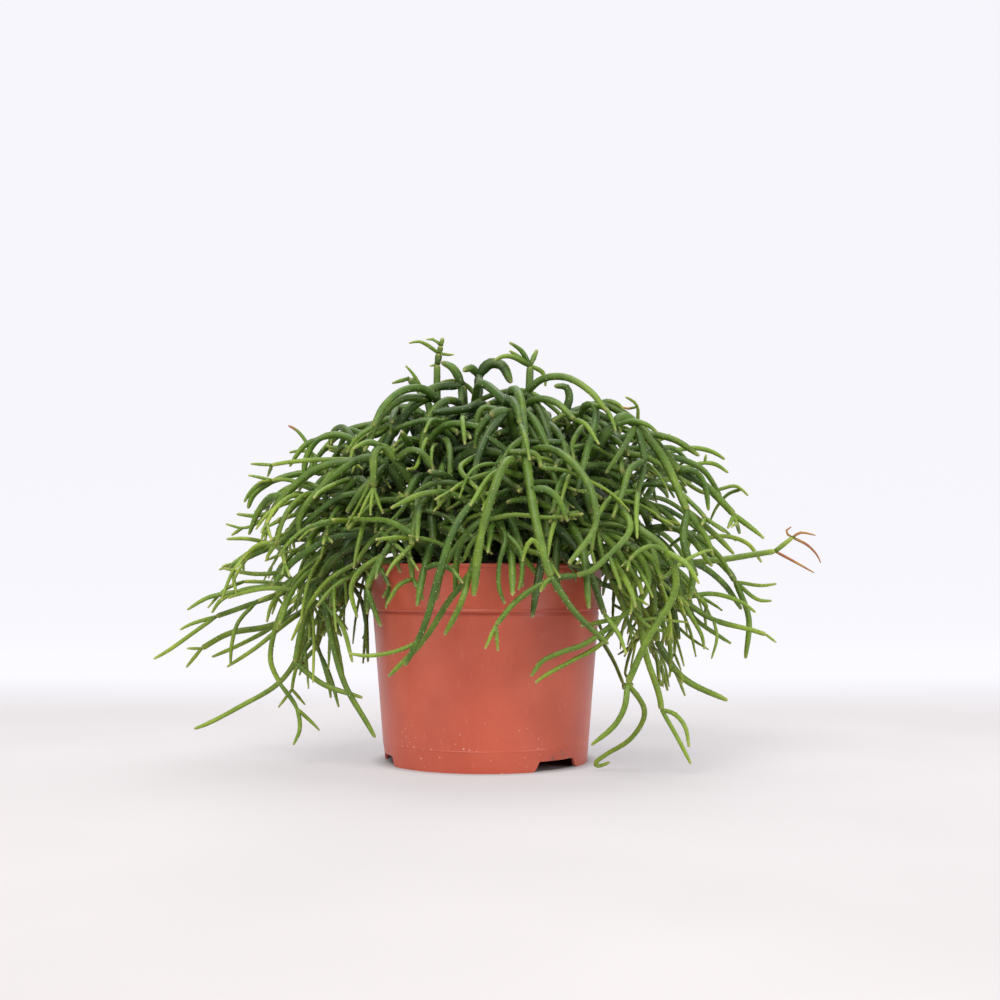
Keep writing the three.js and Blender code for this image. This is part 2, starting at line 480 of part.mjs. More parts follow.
function plantCutting(cutting, stems) {
  stems.forEach(([baseRadius, tipRadius, ...points], i) => {
    if (i === 0) {
      const [x, y] = points[0];
      const top = soilTop(x, y) + ROOT_COLLAR;
      const strand = addStrand(cutting, baseRadius, tipRadius, [[x, y, top], ...points.slice(1)], -1, -1);
      const ids = plant.strands[strand].ids;
      plant.pinned[ids[0]] = true;
      ids.unshift(addParticle([x, y, top - ROOT_COLLAR - ROOT_DEPTH], baseRadius, true));
      return;
    }
    const [parent, joint] = nearestParticle(cutting, points[0]);
    const start = plant.position[joint];
    addStrand(cutting, baseRadius, tipRadius, [start, ...points.slice(1)], parent, joint);
  });
}

// ---------- Shoots that follow a rule ----------

const unit = (v) => {
  const n = Math.hypot(...v);
  return v.map((c) => c / n);
};

// Grows one drooping shoot from particle number `step` of strand `parent`.
function growShoot(draw, parent, step, length, baseRadius, tipRadius, droop) {
  const { ids, cutting } = plant.strands[parent];
  const here = plant.position[ids[step]];
  const before = plant.position[ids[Math.max(0, step - 1)]];
  const after = plant.position[ids[Math.min(ids.length - 1, step + 1)]];
  const forward = unit([after[0] - before[0], after[1] - before[1], after[2] - before[2]]);
  const outward = Math.atan2(here[1], here[0]) + draw(-1.2, 1.2);
  const lean = draw(0.55, 1.0);
  let heading = unit([
    forward[0] + lean * Math.cos(outward),
    forward[1] + lean * Math.sin(outward),
    forward[2] + draw(-0.2, 0.4),
  ]);
  const points = [here];
  const hops = 4;
  for (let i = 0; i < hops; i++) {
    const last = points[points.length - 1];
    points.push(last.map((c, k) => c + (heading[k] * length) / hops));
    heading = unit([heading[0] + draw(-0.12, 0.12), heading[1] + draw(-0.12, 0.12), heading[2] - droop]);
  }
  return addStrand(cutting, baseRadius, tipRadius, points, parent, ids[step]);
}

const END_LENGTH = [16, 28]; // of the shoots furthest from the root
const END_DROOP = 0.35;
const BARE = ["standing_twig", "star_twig", "bronze_tipped_arm"]; // these get no further shoots

// A cutting of a family gets several shoots, of which every other forks once more. Any other gets one.
function growShoots(familyOf) {
  const draw = seeded(77);
  const canes = plant.strands.map((strand, s) => [strand, s]).filter(([strand]) => strand.parent < 0);
  for (const [cane, s] of canes) {
    const last = cane.ids.length - 1;
    const family = familyOf[cane.cutting];
    if (BARE.includes(plant.names[cane.cutting])) continue;
    if (!family) {
      const step = 2 + Math.floor(draw(0, 0.7) * (last - 2));
      growShoot(draw, s, step, draw(...END_LENGTH), draw(1.3, 1.7), 1.0, END_DROOP);
      continue;
    }
    for (let i = 0; i < family.shoots; i++) {
      const step = Math.round(last * (0.45 + (0.55 * i) / (family.shoots - 1)));
      const length = draw(...family.length);
      const second = growShoot(draw, s, step, length, draw(...family.girth), 1.4, family.droop);
      if (i % 2) continue;
      const tip = plant.strands[second].ids.length - 1;
      growShoot(draw, second, tip, draw(...END_LENGTH), 1.3, 0.9, END_DROOP);
    }
  }
}

// ---------- Settling: stems are bent clear of each other, the pot, the mix and the table ----------

const SETTLE_STEPS = 160;
const FREE_STEPS = 60; // the last steps, with no smoothing
const REBUILD_EVERY = 8;
const SMOOTHING = 0.35;
const PUSH = 0.55;

function makeEdges() {
  const edges = [];
  plant.strands.forEach((strand, s) => {
    for (let i = 1; i < strand.ids.length; i++)
      edges.push({
        a: strand.ids[i - 1],
        b: strand.ids[i],
        strand: s,
        cutting: strand.cutting,
        radius: Math.max(plant.radius[strand.ids[i - 1]], plant.radius[strand.ids[i]]),
        step: i,
      });
  });
  return edges;
}

// Closest points of segments p1-q1 and p2-q2: the shares s and t along them, and the vector between.
function closest(p1, q1, p2, q2) {
  const d1 = [q1[0] - p1[0], q1[1] - p1[1], q1[2] - p1[2]];
  const d2 = [q2[0] - p2[0], q2[1] - p2[1], q2[2] - p2[2]];
  const r = [p1[0] - p2[0], p1[1] - p2[1], p1[2] - p2[2]];
  const a = d1[0] * d1[0] + d1[1] * d1[1] + d1[2] * d1[2];
  const e = d2[0] * d2[0] + d2[1] * d2[1] + d2[2] * d2[2];
  const f = d2[0] * r[0] + d2[1] * r[1] + d2[2] * r[2];
  const c = d1[0] * r[0] + d1[1] * r[1] + d1[2] * r[2];
  const b = d1[0] * d2[0] + d1[1] * d2[1] + d1[2] * d2[2];
  const clamp = (v) => Math.min(1, Math.max(0, v));
  const denominator = a * e - b * b;
  let s = denominator > 1e-9 ? clamp((b * f - c * e) / denominator) : 0.5;
  const t = clamp((b * s + f) / e);
  s = clamp((b * t - c) / a);
  const gap = [0, 1, 2].map((k) => r[k] + d1[k] * s - d2[k] * t);
  return { s, t, gap, distance: Math.hypot(...gap) };
}

// True for two stretches of one stem, of a stem and its shoot, or of two shoots of one stem.
function related(a, b) {
  const parentOfA = plant.strands[a.strand].parent;
  const parentOfB = plant.strands[b.strand].parent;
  if (a.strand === b.strand || parentOfA === b.strand || parentOfB === a.strand) return true;
  return parentOfA >= 0 && parentOfA === parentOfB;
}

function findPairs(edges, rest) {
  const P = plant.position;
  const middle = edges.map(({ a, b }) => [0, 1, 2].map((k) => 0.5 * (P[a][k] + P[b][k])));
  const half = edges.map(({ a, b }) => 0.5 * Math.hypot(...P[a].map((c, k) => c - P[b][k])));
  const pairs = [];
  for (let i = 0; i < edges.length; i++)
    for (let j = i + 1; j < edges.length; j++) {
      const u = edges[i];
      const v = edges[j];
      const full = u.radius + v.radius + STEM_GAP;
      const near = half[i] + half[j] + full + 5;
      const dx = middle[i][0] - middle[j][0];
      const dy = middle[i][1] - middle[j][1];
      const dz = middle[i][2] - middle[j][2];
      if (dx * dx + dy * dy + dz * dz > near * near) continue;
      if (u.strand === v.strand && Math.abs(u.step - v.step) < 3) continue;
      let need = full;
      if (u.cutting === v.cutting && related(u, v)) {
        const d = closest(rest[u.a], rest[u.b], rest[v.a], rest[v.b]).distance;
        need = Math.min(full, 0.95 * d);
        if (need < 0.5) continue;
      }
      pairs.push([u, v, need]);
    }
  return pairs;
}

// How far a point of a stem with this radius has to move to be clear of the pot, the mix and the table.
function solidPush(p, radius) {
  const [x, y, z] = p;
  const out = [0, 0, 0];
  const reach = Math.hypot(x, y);
  const margin = radius + STEM_GAP;
  const outer = (z > BAND_BOTTOM - 3 ? LIP_RADIUS : wallRadius(Math.max(0, z))) + margin;
  const top = POT_HEIGHT + margin;
  const inner = BAND_RADIUS - WALL - 1 - margin;
  if (z < top && reach < outer && reach > inner) {
    const up = top - z;
    const aside = outer - reach;
    if (up < aside && z > BAND_BOTTOM) out[2] = up;
    else {
      out[0] = (x / reach) * aside;
      out[1] = (y / reach) * aside;
    }
  } else if (reach <= inner) {
    out[2] = Math.max(0, soilTop(x, y) + margin - z);
  }
  const low = radius + TABLE_GAP;
  if (z < low) out[2] += low - z;
  const deep = Math.abs(y) + radius - HALF_DEPTH;
  if (deep > 0) out[1] -= Math.sign(y) * deep;
  return out;
}

function settle() {
  const P = plant.position;
  const rest = P.map((p) => [...p]);
  const edges = makeEdges();
  const neighbours = P.map(() => []);
  for (const { a, b } of edges) {
    neighbours[a].push(b);
    neighbours[b].push(a);
  }
  let pairs = [];
  for (let step = 0; step < SETTLE_STEPS + FREE_STEPS; step++) {
    if (step % REBUILD_EVERY === 0) pairs = findPairs(edges, rest);
    const push = P.map(() => [0, 0, 0]);
    const give = (edge, share, vector, scale) => {
      for (let k = 0; k < 3; k++) {
        push[edge.a][k] += (1 - share) * scale * vector[k];
        push[edge.b][k] += share * scale * vector[k];
      }
    };
    for (const [u, v, need] of pairs) {
      const { s, t, gap, distance } = closest(P[u.a], P[u.b], P[v.a], P[v.b]);
      if (distance >= need || distance < 1e-6) continue;
      const scale = (PUSH * (need - distance)) / distance;
      give(u, s, gap, scale);
      give(v, t, gap, -scale);
    }
    for (const edge of edges)
      if (!(plant.pinned[edge.a] && plant.pinned[edge.b]))
        for (const share of [0.25, 0.5, 0.75, 1]) {
          const p = [0, 1, 2].map((k) => P[edge.a][k] * (1 - share) + P[edge.b][k] * share);
          give(edge, share, solidPush(p, edge.radius), 0.5);
        }
    P.forEach((p, i) => {
      if (!plant.pinned[i]) for (let k = 0; k < 3; k++) p[k] += push[i][k];
    });
    if (step < SETTLE_STEPS) {
      const shift = P.map((p, i) => p.map((c, k) => c - rest[i][k]));
      P.forEach((p, i) => {
        if (plant.pinned[i]) return;
        for (let k = 0; k < 3; k++) {
          let sum = 0;
          for (const n of neighbours[i]) sum += shift[n][k];
          const mean = sum / neighbours[i].length;
          p[k] = rest[i][k] + (1 - SMOOTHING) * shift[i][k] + SMOOTHING * mean;
        }
      });
    }
  }
}

// ---------- Solids ----------

function solidOf(geometry) {
  const plain = geometry.index ? geometry.toNonIndexed() : geometry.clone();
  plain.deleteAttribute("normal");
  plain.deleteAttribute("uv");
  const merged = mergeVertices(plain, 1e-4);
  const mesh = new wasm.Mesh({
    numProp: 3,
    vertProperties: merged.attributes.position.array,
    triVerts: new Uint32Array(merged.index.array),
  });
  return new wasm.Manifold(mesh);
}

function geometryOf(solid) {
  const { vertProperties, triVerts } = solid.getMesh();
  const geometry = new THREE.BufferGeometry();
  geometry.setAttribute("position", new THREE.BufferAttribute(vertProperties, 3));
  geometry.setIndex(new THREE.BufferAttribute(triVerts, 1));
  return geometry;
}

// A tapered stem round a chain of points, closed by a flat base and a short blunt tip.
function stemGeometry(points, radii, sides) {
  const vertices = [];
  const index = [];
  const path = points.map((p) => new THREE.Vector3(...p));
  let side = new THREE.Vector3(0.37, 0.81, 0.45);
  path.forEach((p, i) => {
    const ahead = path[Math.min(i + 1, path.length - 1)];
    const tangent = ahead.clone().sub(path[Math.max(i - 1, 0)]).normalize();
    side = side.clone().addScaledVector(tangent, -side.dot(tangent)).normalize();
    const other = tangent.clone().cross(side);
    for (let k = 0; k < sides; k++) {
      const angle = (2 * Math.PI * k) / sides;
      const v = p
        .clone()
        .addScaledVector(side, radii[i] * Math.cos(angle))
        .addScaledVector(other, radii[i] * Math.sin(angle));
      vertices.push(v.x, v.y, v.z);
    }
  });
  const rings = path.length;
  const last = path[rings - 1];
  const tip = last.clone().add(last.clone().sub(path[rings - 2]).setLength(radii[rings - 1] * 0.9));
  vertices.push(path[0].x, path[0].y, path[0].z, tip.x, tip.y, tip.z);
  const base = rings * sides;
  for (let k = 0; k < sides; k++) {
    const next = (k + 1) % sides;
    index.push(base, next, k);
    index.push(base + 1, (rings - 1) * sides + k, (rings - 1) * sides + next);
    for (let i = 0; i < rings - 1; i++) {
      const a = i * sides + k;
      const b = i * sides + next;
      index.push(a, b, b + sides, a, b + sides, a + sides);
    }
  }
  const geometry = new THREE.BufferGeometry();
  geometry.setAttribute("position", new THREE.Float32BufferAttribute(vertices, 3));
  geometry.setIndex(index);
  return geometry;
}

const SIMPLIFY = 0.2; // edges shorter than this are folded away after the stems are joined
const FINE_SIMPLIFY = 0.05; // the same for the pot and the mix

const sidesFor = (radius) => (radius > 1.9 ? 4 : 3);

function cuttingGeometry(cutting) {
  let whole = null;
  for (const strand of plant.strands) {
    if (strand.cutting !== cutting) continue;
    const points = strand.ids.map((id) => plant.position[id]);
    const count = points.length - 1;
    const taper = (strand.tipRadius - strand.baseRadius) / count;
    const radii = points.map((_, i) => strand.baseRadius + taper * i);
    const solid = solidOf(stemGeometry(points, radii, sidesFor(strand.baseRadius)));
    whole = whole ? whole.add(solid) : solid;
  }
  return geometryOf(whole.asOriginal().simplify(SIMPLIFY));
}

function tool(geometry, x, y, z) {
  geometry.translate(x, y, z);
  return solidOf(geometry);
}

const upright = (radius, height, sides) =>
  new THREE.CylinderGeometry(radius, radius, height, sides).rotateX(Math.PI / 2);

function notchGeometry() {
  const half = NOTCH_WIDTH / 2;
  const shape = new THREE.Shape();
  shape.moveTo(-half - NOTCH_FLARE, -1);
  shape.lineTo(half + NOTCH_FLARE, -1);
  shape.lineTo(half + NOTCH_FLARE, 0);
  shape.quadraticCurveTo(half, 0, half, NOTCH_FLARE);
  shape.lineTo(half - 0.6, NOTCH_HEIGHT);
  shape.lineTo(-half + 0.6, NOTCH_HEIGHT);
  shape.lineTo(-half, NOTCH_FLARE);
  shape.quadraticCurveTo(-half, 0, -half - NOTCH_FLARE, 0);
  shape.closePath();
  const notch = new THREE.ExtrudeGeometry(shape, { depth: 16, bevelEnabled: false, curveSegments: 3 });
  return notch.rotateX(Math.PI / 2).translate(0, -42, 0);
}

function potGeometry() {
  const innerWall = (z) => wallRadius(z) - WALL;
  const profile = [
    [0, FLOOR_UNDERSIDE],
    [innerWall(FLOOR_UNDERSIDE), FLOOR_UNDERSIDE],
    [innerWall(0), 0],
    [BASE_RADIUS, 0],
    [WALL_TOP_RADIUS, BAND_BOTTOM],
    [BAND_RADIUS - 0.3, BAND_BOTTOM],
    [BAND_RADIUS, POT_HEIGHT - LIP_HEIGHT],
    [LIP_RADIUS, POT_HEIGHT - LIP_HEIGHT + 0.3],
    [LIP_RADIUS - 0.3, POT_HEIGHT],
    [BAND_RADIUS - WALL, POT_HEIGHT],
    [BAND_RADIUS - WALL - 0.3, BAND_BOTTOM + WALL],
    [WALL_TOP_RADIUS - WALL, BAND_BOTTOM - WALL],
    [innerWall(FLOOR_TOP), FLOOR_TOP],
    [0, FLOOR_TOP],
  ].map(([r, z]) => new THREE.Vector2(r, z));
  const lathe = new THREE.LatheGeometry(profile, POT_SIDES).rotateX(Math.PI / 2);
  let pot = solidOf(lathe);
  for (let i = 0; i < NOTCH_COUNT; i++) {
    const turn = THREE.MathUtils.degToRad(NOTCH_FIRST_DEG + 90 + (360 * i) / NOTCH_COUNT);
    pot = pot.subtract(solidOf(notchGeometry().rotateZ(turn)));
  }
  for (let i = 0; i < DRAIN_COUNT; i++) {
    const turn = THREE.MathUtils.degToRad(NOTCH_FIRST_DEG + (360 * i) / DRAIN_COUNT);
    const x = DRAIN_CIRCLE * Math.cos(turn);
    const y = DRAIN_CIRCLE * Math.sin(turn);
    pot = pot.subtract(tool(upright(DRAIN_RADIUS, 6, 8), x, y, (FLOOR_TOP + FLOOR_UNDERSIDE) / 2));
  }
  return geometryOf(pot.asOriginal().simplify(FINE_SIMPLIFY));
}

const SOIL_SIDES = 24;
const SOIL_RINGS = [0.5, 1];

// The potting mix fills the pot: a tapered plug with an uneven, slightly mounded top.
function soilGeometry(roots) {
  const edge = wallRadius(SOIL_EDGE - 20) - WALL - CLEARANCE;
  const bottom = FLOOR_TOP + CLEARANCE;
  const bottomRadius = wallRadius(bottom) - WALL - CLEARANCE;
  const shoulder = BAND_BOTTOM - 2 * WALL;
  const vertices = [0, 0, soilTop(0, 0)];
  const ring = (radius, height) => {
    for (let k = 0; k < SOIL_SIDES; k++) {
      const angle = (2 * Math.PI * k) / SOIL_SIDES;
      const x = radius * Math.cos(angle);
      const y = radius * Math.sin(angle);
      vertices.push(x, y, height(x, y));
    }
  };
  for (const share of SOIL_RINGS) ring(edge * share, soilTop);
  ring(Math.min(edge, wallRadius(shoulder) - WALL - CLEARANCE), () => shoulder);
  ring(bottomRadius, () => bottom);
  vertices.push(0, 0, bottom);
  const rings = SOIL_RINGS.length + 2;
  const end = 1 + rings * SOIL_SIDES;
  const index = [];
  for (let k = 0; k < SOIL_SIDES; k++) {
    const next = (k + 1) % SOIL_SIDES;
    index.push(0, 1 + k, 1 + next);
    index.push(end, end - SOIL_SIDES + next, end - SOIL_SIDES + k);
    for (let i = 0; i < rings - 1; i++) {
      const a = 1 + i * SOIL_SIDES + k;
      const b = 1 + i * SOIL_SIDES + next;
      index.push(a, a + SOIL_SIDES, b + SOIL_SIDES, a, b + SOIL_SIDES, b);
    }
  }
  const plug = new THREE.BufferGeometry();
  plug.setAttribute("position", new THREE.Float32BufferAttribute(vertices, 3));
  plug.setIndex(index);
  let soil = solidOf(plug);
  const sides = 5;
  for (const { x, y, radius, bottom: root } of roots) {
    const clear = (radius + CLEARANCE) / Math.cos(Math.PI / sides);
    const height = ROOT_DEPTH + 12;
    const hole = upright(clear, height, sides);
    soil = soil.subtract(tool(hole, x, y, root - CLEARANCE + height / 2));
  }
  return geometryOf(soil.asOriginal().simplify(FINE_SIMPLIFY));
}

// ---------- The object ----------

const MATERIALS = {
  pot_plastic: new THREE.MeshStandardMaterial({ color: 0xc4604a, roughness: 0.42, metalness: 0 }),
  potting_mix: new THREE.MeshStandardMaterial({ color: 0x2a1d16, roughness: 0.95, metalness: 0 }),
  stem_skin: new THREE.MeshStandardMaterial({ color: 0x4c7a2c, roughness: 0.4, metalness: 0 }),
};

const all = [...Object.entries(cuttings), ...ruledCuttings()];
spreadRoots(all.map(([, stems]) => stems));
all.forEach(([name, stems], cutting) => {
  plant.names.push(name);
  plantCutting(cutting, stems);
});
growShoots(all.map(([, , family]) => family));
settle();

const group = new THREE.Group();

function addPiece(name, geometry, material) {
  const mesh = new THREE.Mesh(geometry, material);
  mesh.name = name;
  group.add(mesh);
}

const roots = plant.strands
  .filter((strand) => strand.parent < 0)
  .map((strand) => {
    const [x, y, bottom] = plant.position[strand.ids[0]];
    return { x, y, bottom, radius: strand.baseRadius };
  });

addPiece("pot", potGeometry(), MATERIALS.pot_plastic);
addPiece("potting_mix", soilGeometry(roots), MATERIALS.potting_mix);
plant.names.forEach((name, cutting) => addPiece(name, cuttingGeometry(cutting), MATERIALS.stem_skin));

export default group;
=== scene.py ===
# %% [markdown]
# # A mistletoe cactus in a nursery pot
#
# The plant is a Rhipsalis: dozens of cuttings struck in one 12 cm pot. Each cutting is a chain of slim
# round segments that fork in whorls, arch over the rim and hang. This lesson grows the same plant as
# the CAD frame, by the same routes and the same settling rule, and then skins every stem finely: faint
# ribs, pinched joints, rounded tips, and the woolly areoles that mark it as a cactus.
#
# Lengths in the growing rules are millimetres, as a gardener would measure them. Meshes are made in
# metres.

# %% Load the frame
import json
import math

import bpy
import numpy as np
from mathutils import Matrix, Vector, noise

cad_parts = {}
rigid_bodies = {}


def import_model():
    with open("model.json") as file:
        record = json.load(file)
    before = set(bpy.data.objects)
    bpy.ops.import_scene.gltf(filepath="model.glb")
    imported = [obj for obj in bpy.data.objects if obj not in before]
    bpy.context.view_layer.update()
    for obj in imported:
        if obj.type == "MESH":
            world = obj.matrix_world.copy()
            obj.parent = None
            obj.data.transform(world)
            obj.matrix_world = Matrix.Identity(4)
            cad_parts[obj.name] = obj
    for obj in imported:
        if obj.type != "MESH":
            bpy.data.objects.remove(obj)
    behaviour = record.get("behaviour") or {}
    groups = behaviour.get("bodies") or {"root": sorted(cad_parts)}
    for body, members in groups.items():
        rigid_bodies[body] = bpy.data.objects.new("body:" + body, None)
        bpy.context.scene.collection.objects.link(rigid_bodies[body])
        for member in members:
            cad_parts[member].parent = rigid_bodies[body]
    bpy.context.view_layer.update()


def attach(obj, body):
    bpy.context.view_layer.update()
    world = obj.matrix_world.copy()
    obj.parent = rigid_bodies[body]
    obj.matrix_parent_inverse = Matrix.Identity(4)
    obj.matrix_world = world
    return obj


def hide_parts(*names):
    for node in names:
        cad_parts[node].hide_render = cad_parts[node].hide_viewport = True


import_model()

MM = 0.001

# %% [markdown]
# ## Random numbers that any language draws alike
#
# A plant needs variety, and a reusable part needs the same variety each time it is made. The minimal
# standard generator of Park and Miller multiplies a whole number and keeps the remainder, so this
# script and the CAD source draw the very same numbers.


# %% Seeded numbers
def seeded(seed):
    state = [seed]

    def draw(low, high):
        state[0] = state[0] * 48271 % 2147483647
        return low + (high - low) * state[0] / 2147483647

    return draw


print("three draws:", [round(seeded(s)(0, 1), 4) for s in (1, 2, 3)])

# %% [markdown]
# ## The pot and the mix in a few numbers
#
# These are the driving dimensions of the frame: a tapered wall with a rim band, three notches in the
# foot, and a potting mix that is mounded in the middle. Stems keep clear of all of them.

# %% Driving dimensions
POT_HEIGHT = 101.5
BASE_RADIUS = 52.3
WALL = 1.3
WALL_TOP_RADIUS = 58.7
BAND_BOTTOM = 78
BAND_RADIUS = 60.0
LIP_RADIUS = 60.7
LIP_HEIGHT = 1.9
FLOOR_UNDERSIDE = 5.2
FLOOR_TOP = 6.6
NOTCH_FIRST_DEG = -47
NOTCH_WIDTH = 25
NOTCH_HEIGHT = 4.9
NOTCH_FLARE = 2.2
DRAIN_RADIUS = 4
DRAIN_CIRCLE = 36

CLEARANCE = 0.35
SOIL_EDGE = 95.5
SOIL_MOUND = 11
ROOT_DEPTH = 13
ROOT_COLLAR = 4
STEM_GAP = 0.75
TABLE_GAP = 0.8
HALF_DEPTH = 101


def wall_radius(z):
    return BASE_RADIUS + (WALL_TOP_RADIUS - BASE_RADIUS) * z / BAND_BOTTOM


def soil_top(x, y):
    rise = 1 - (x * x + y * y) / (57 * 57)
    ripple = np.sin(0.21 * x + 1.3) * np.cos(0.17 * y - 0.6)
    return SOIL_EDGE + SOIL_MOUND * np.maximum(0, rise) + 0.8 * ripple


print("mix stands", round(float(soil_top(0, 0)) - POT_HEIGHT, 1), "mm above the rim in the middle")

# %% [markdown]
# ## The cuttings whose routes are known
#
# A stem is [radius at its base, radius at its tip, points...]. A cutting's first stem rises from the
# mix, so its first point is only (x, y). Each later stem starts at the joint or bend nearest to its
# first point.

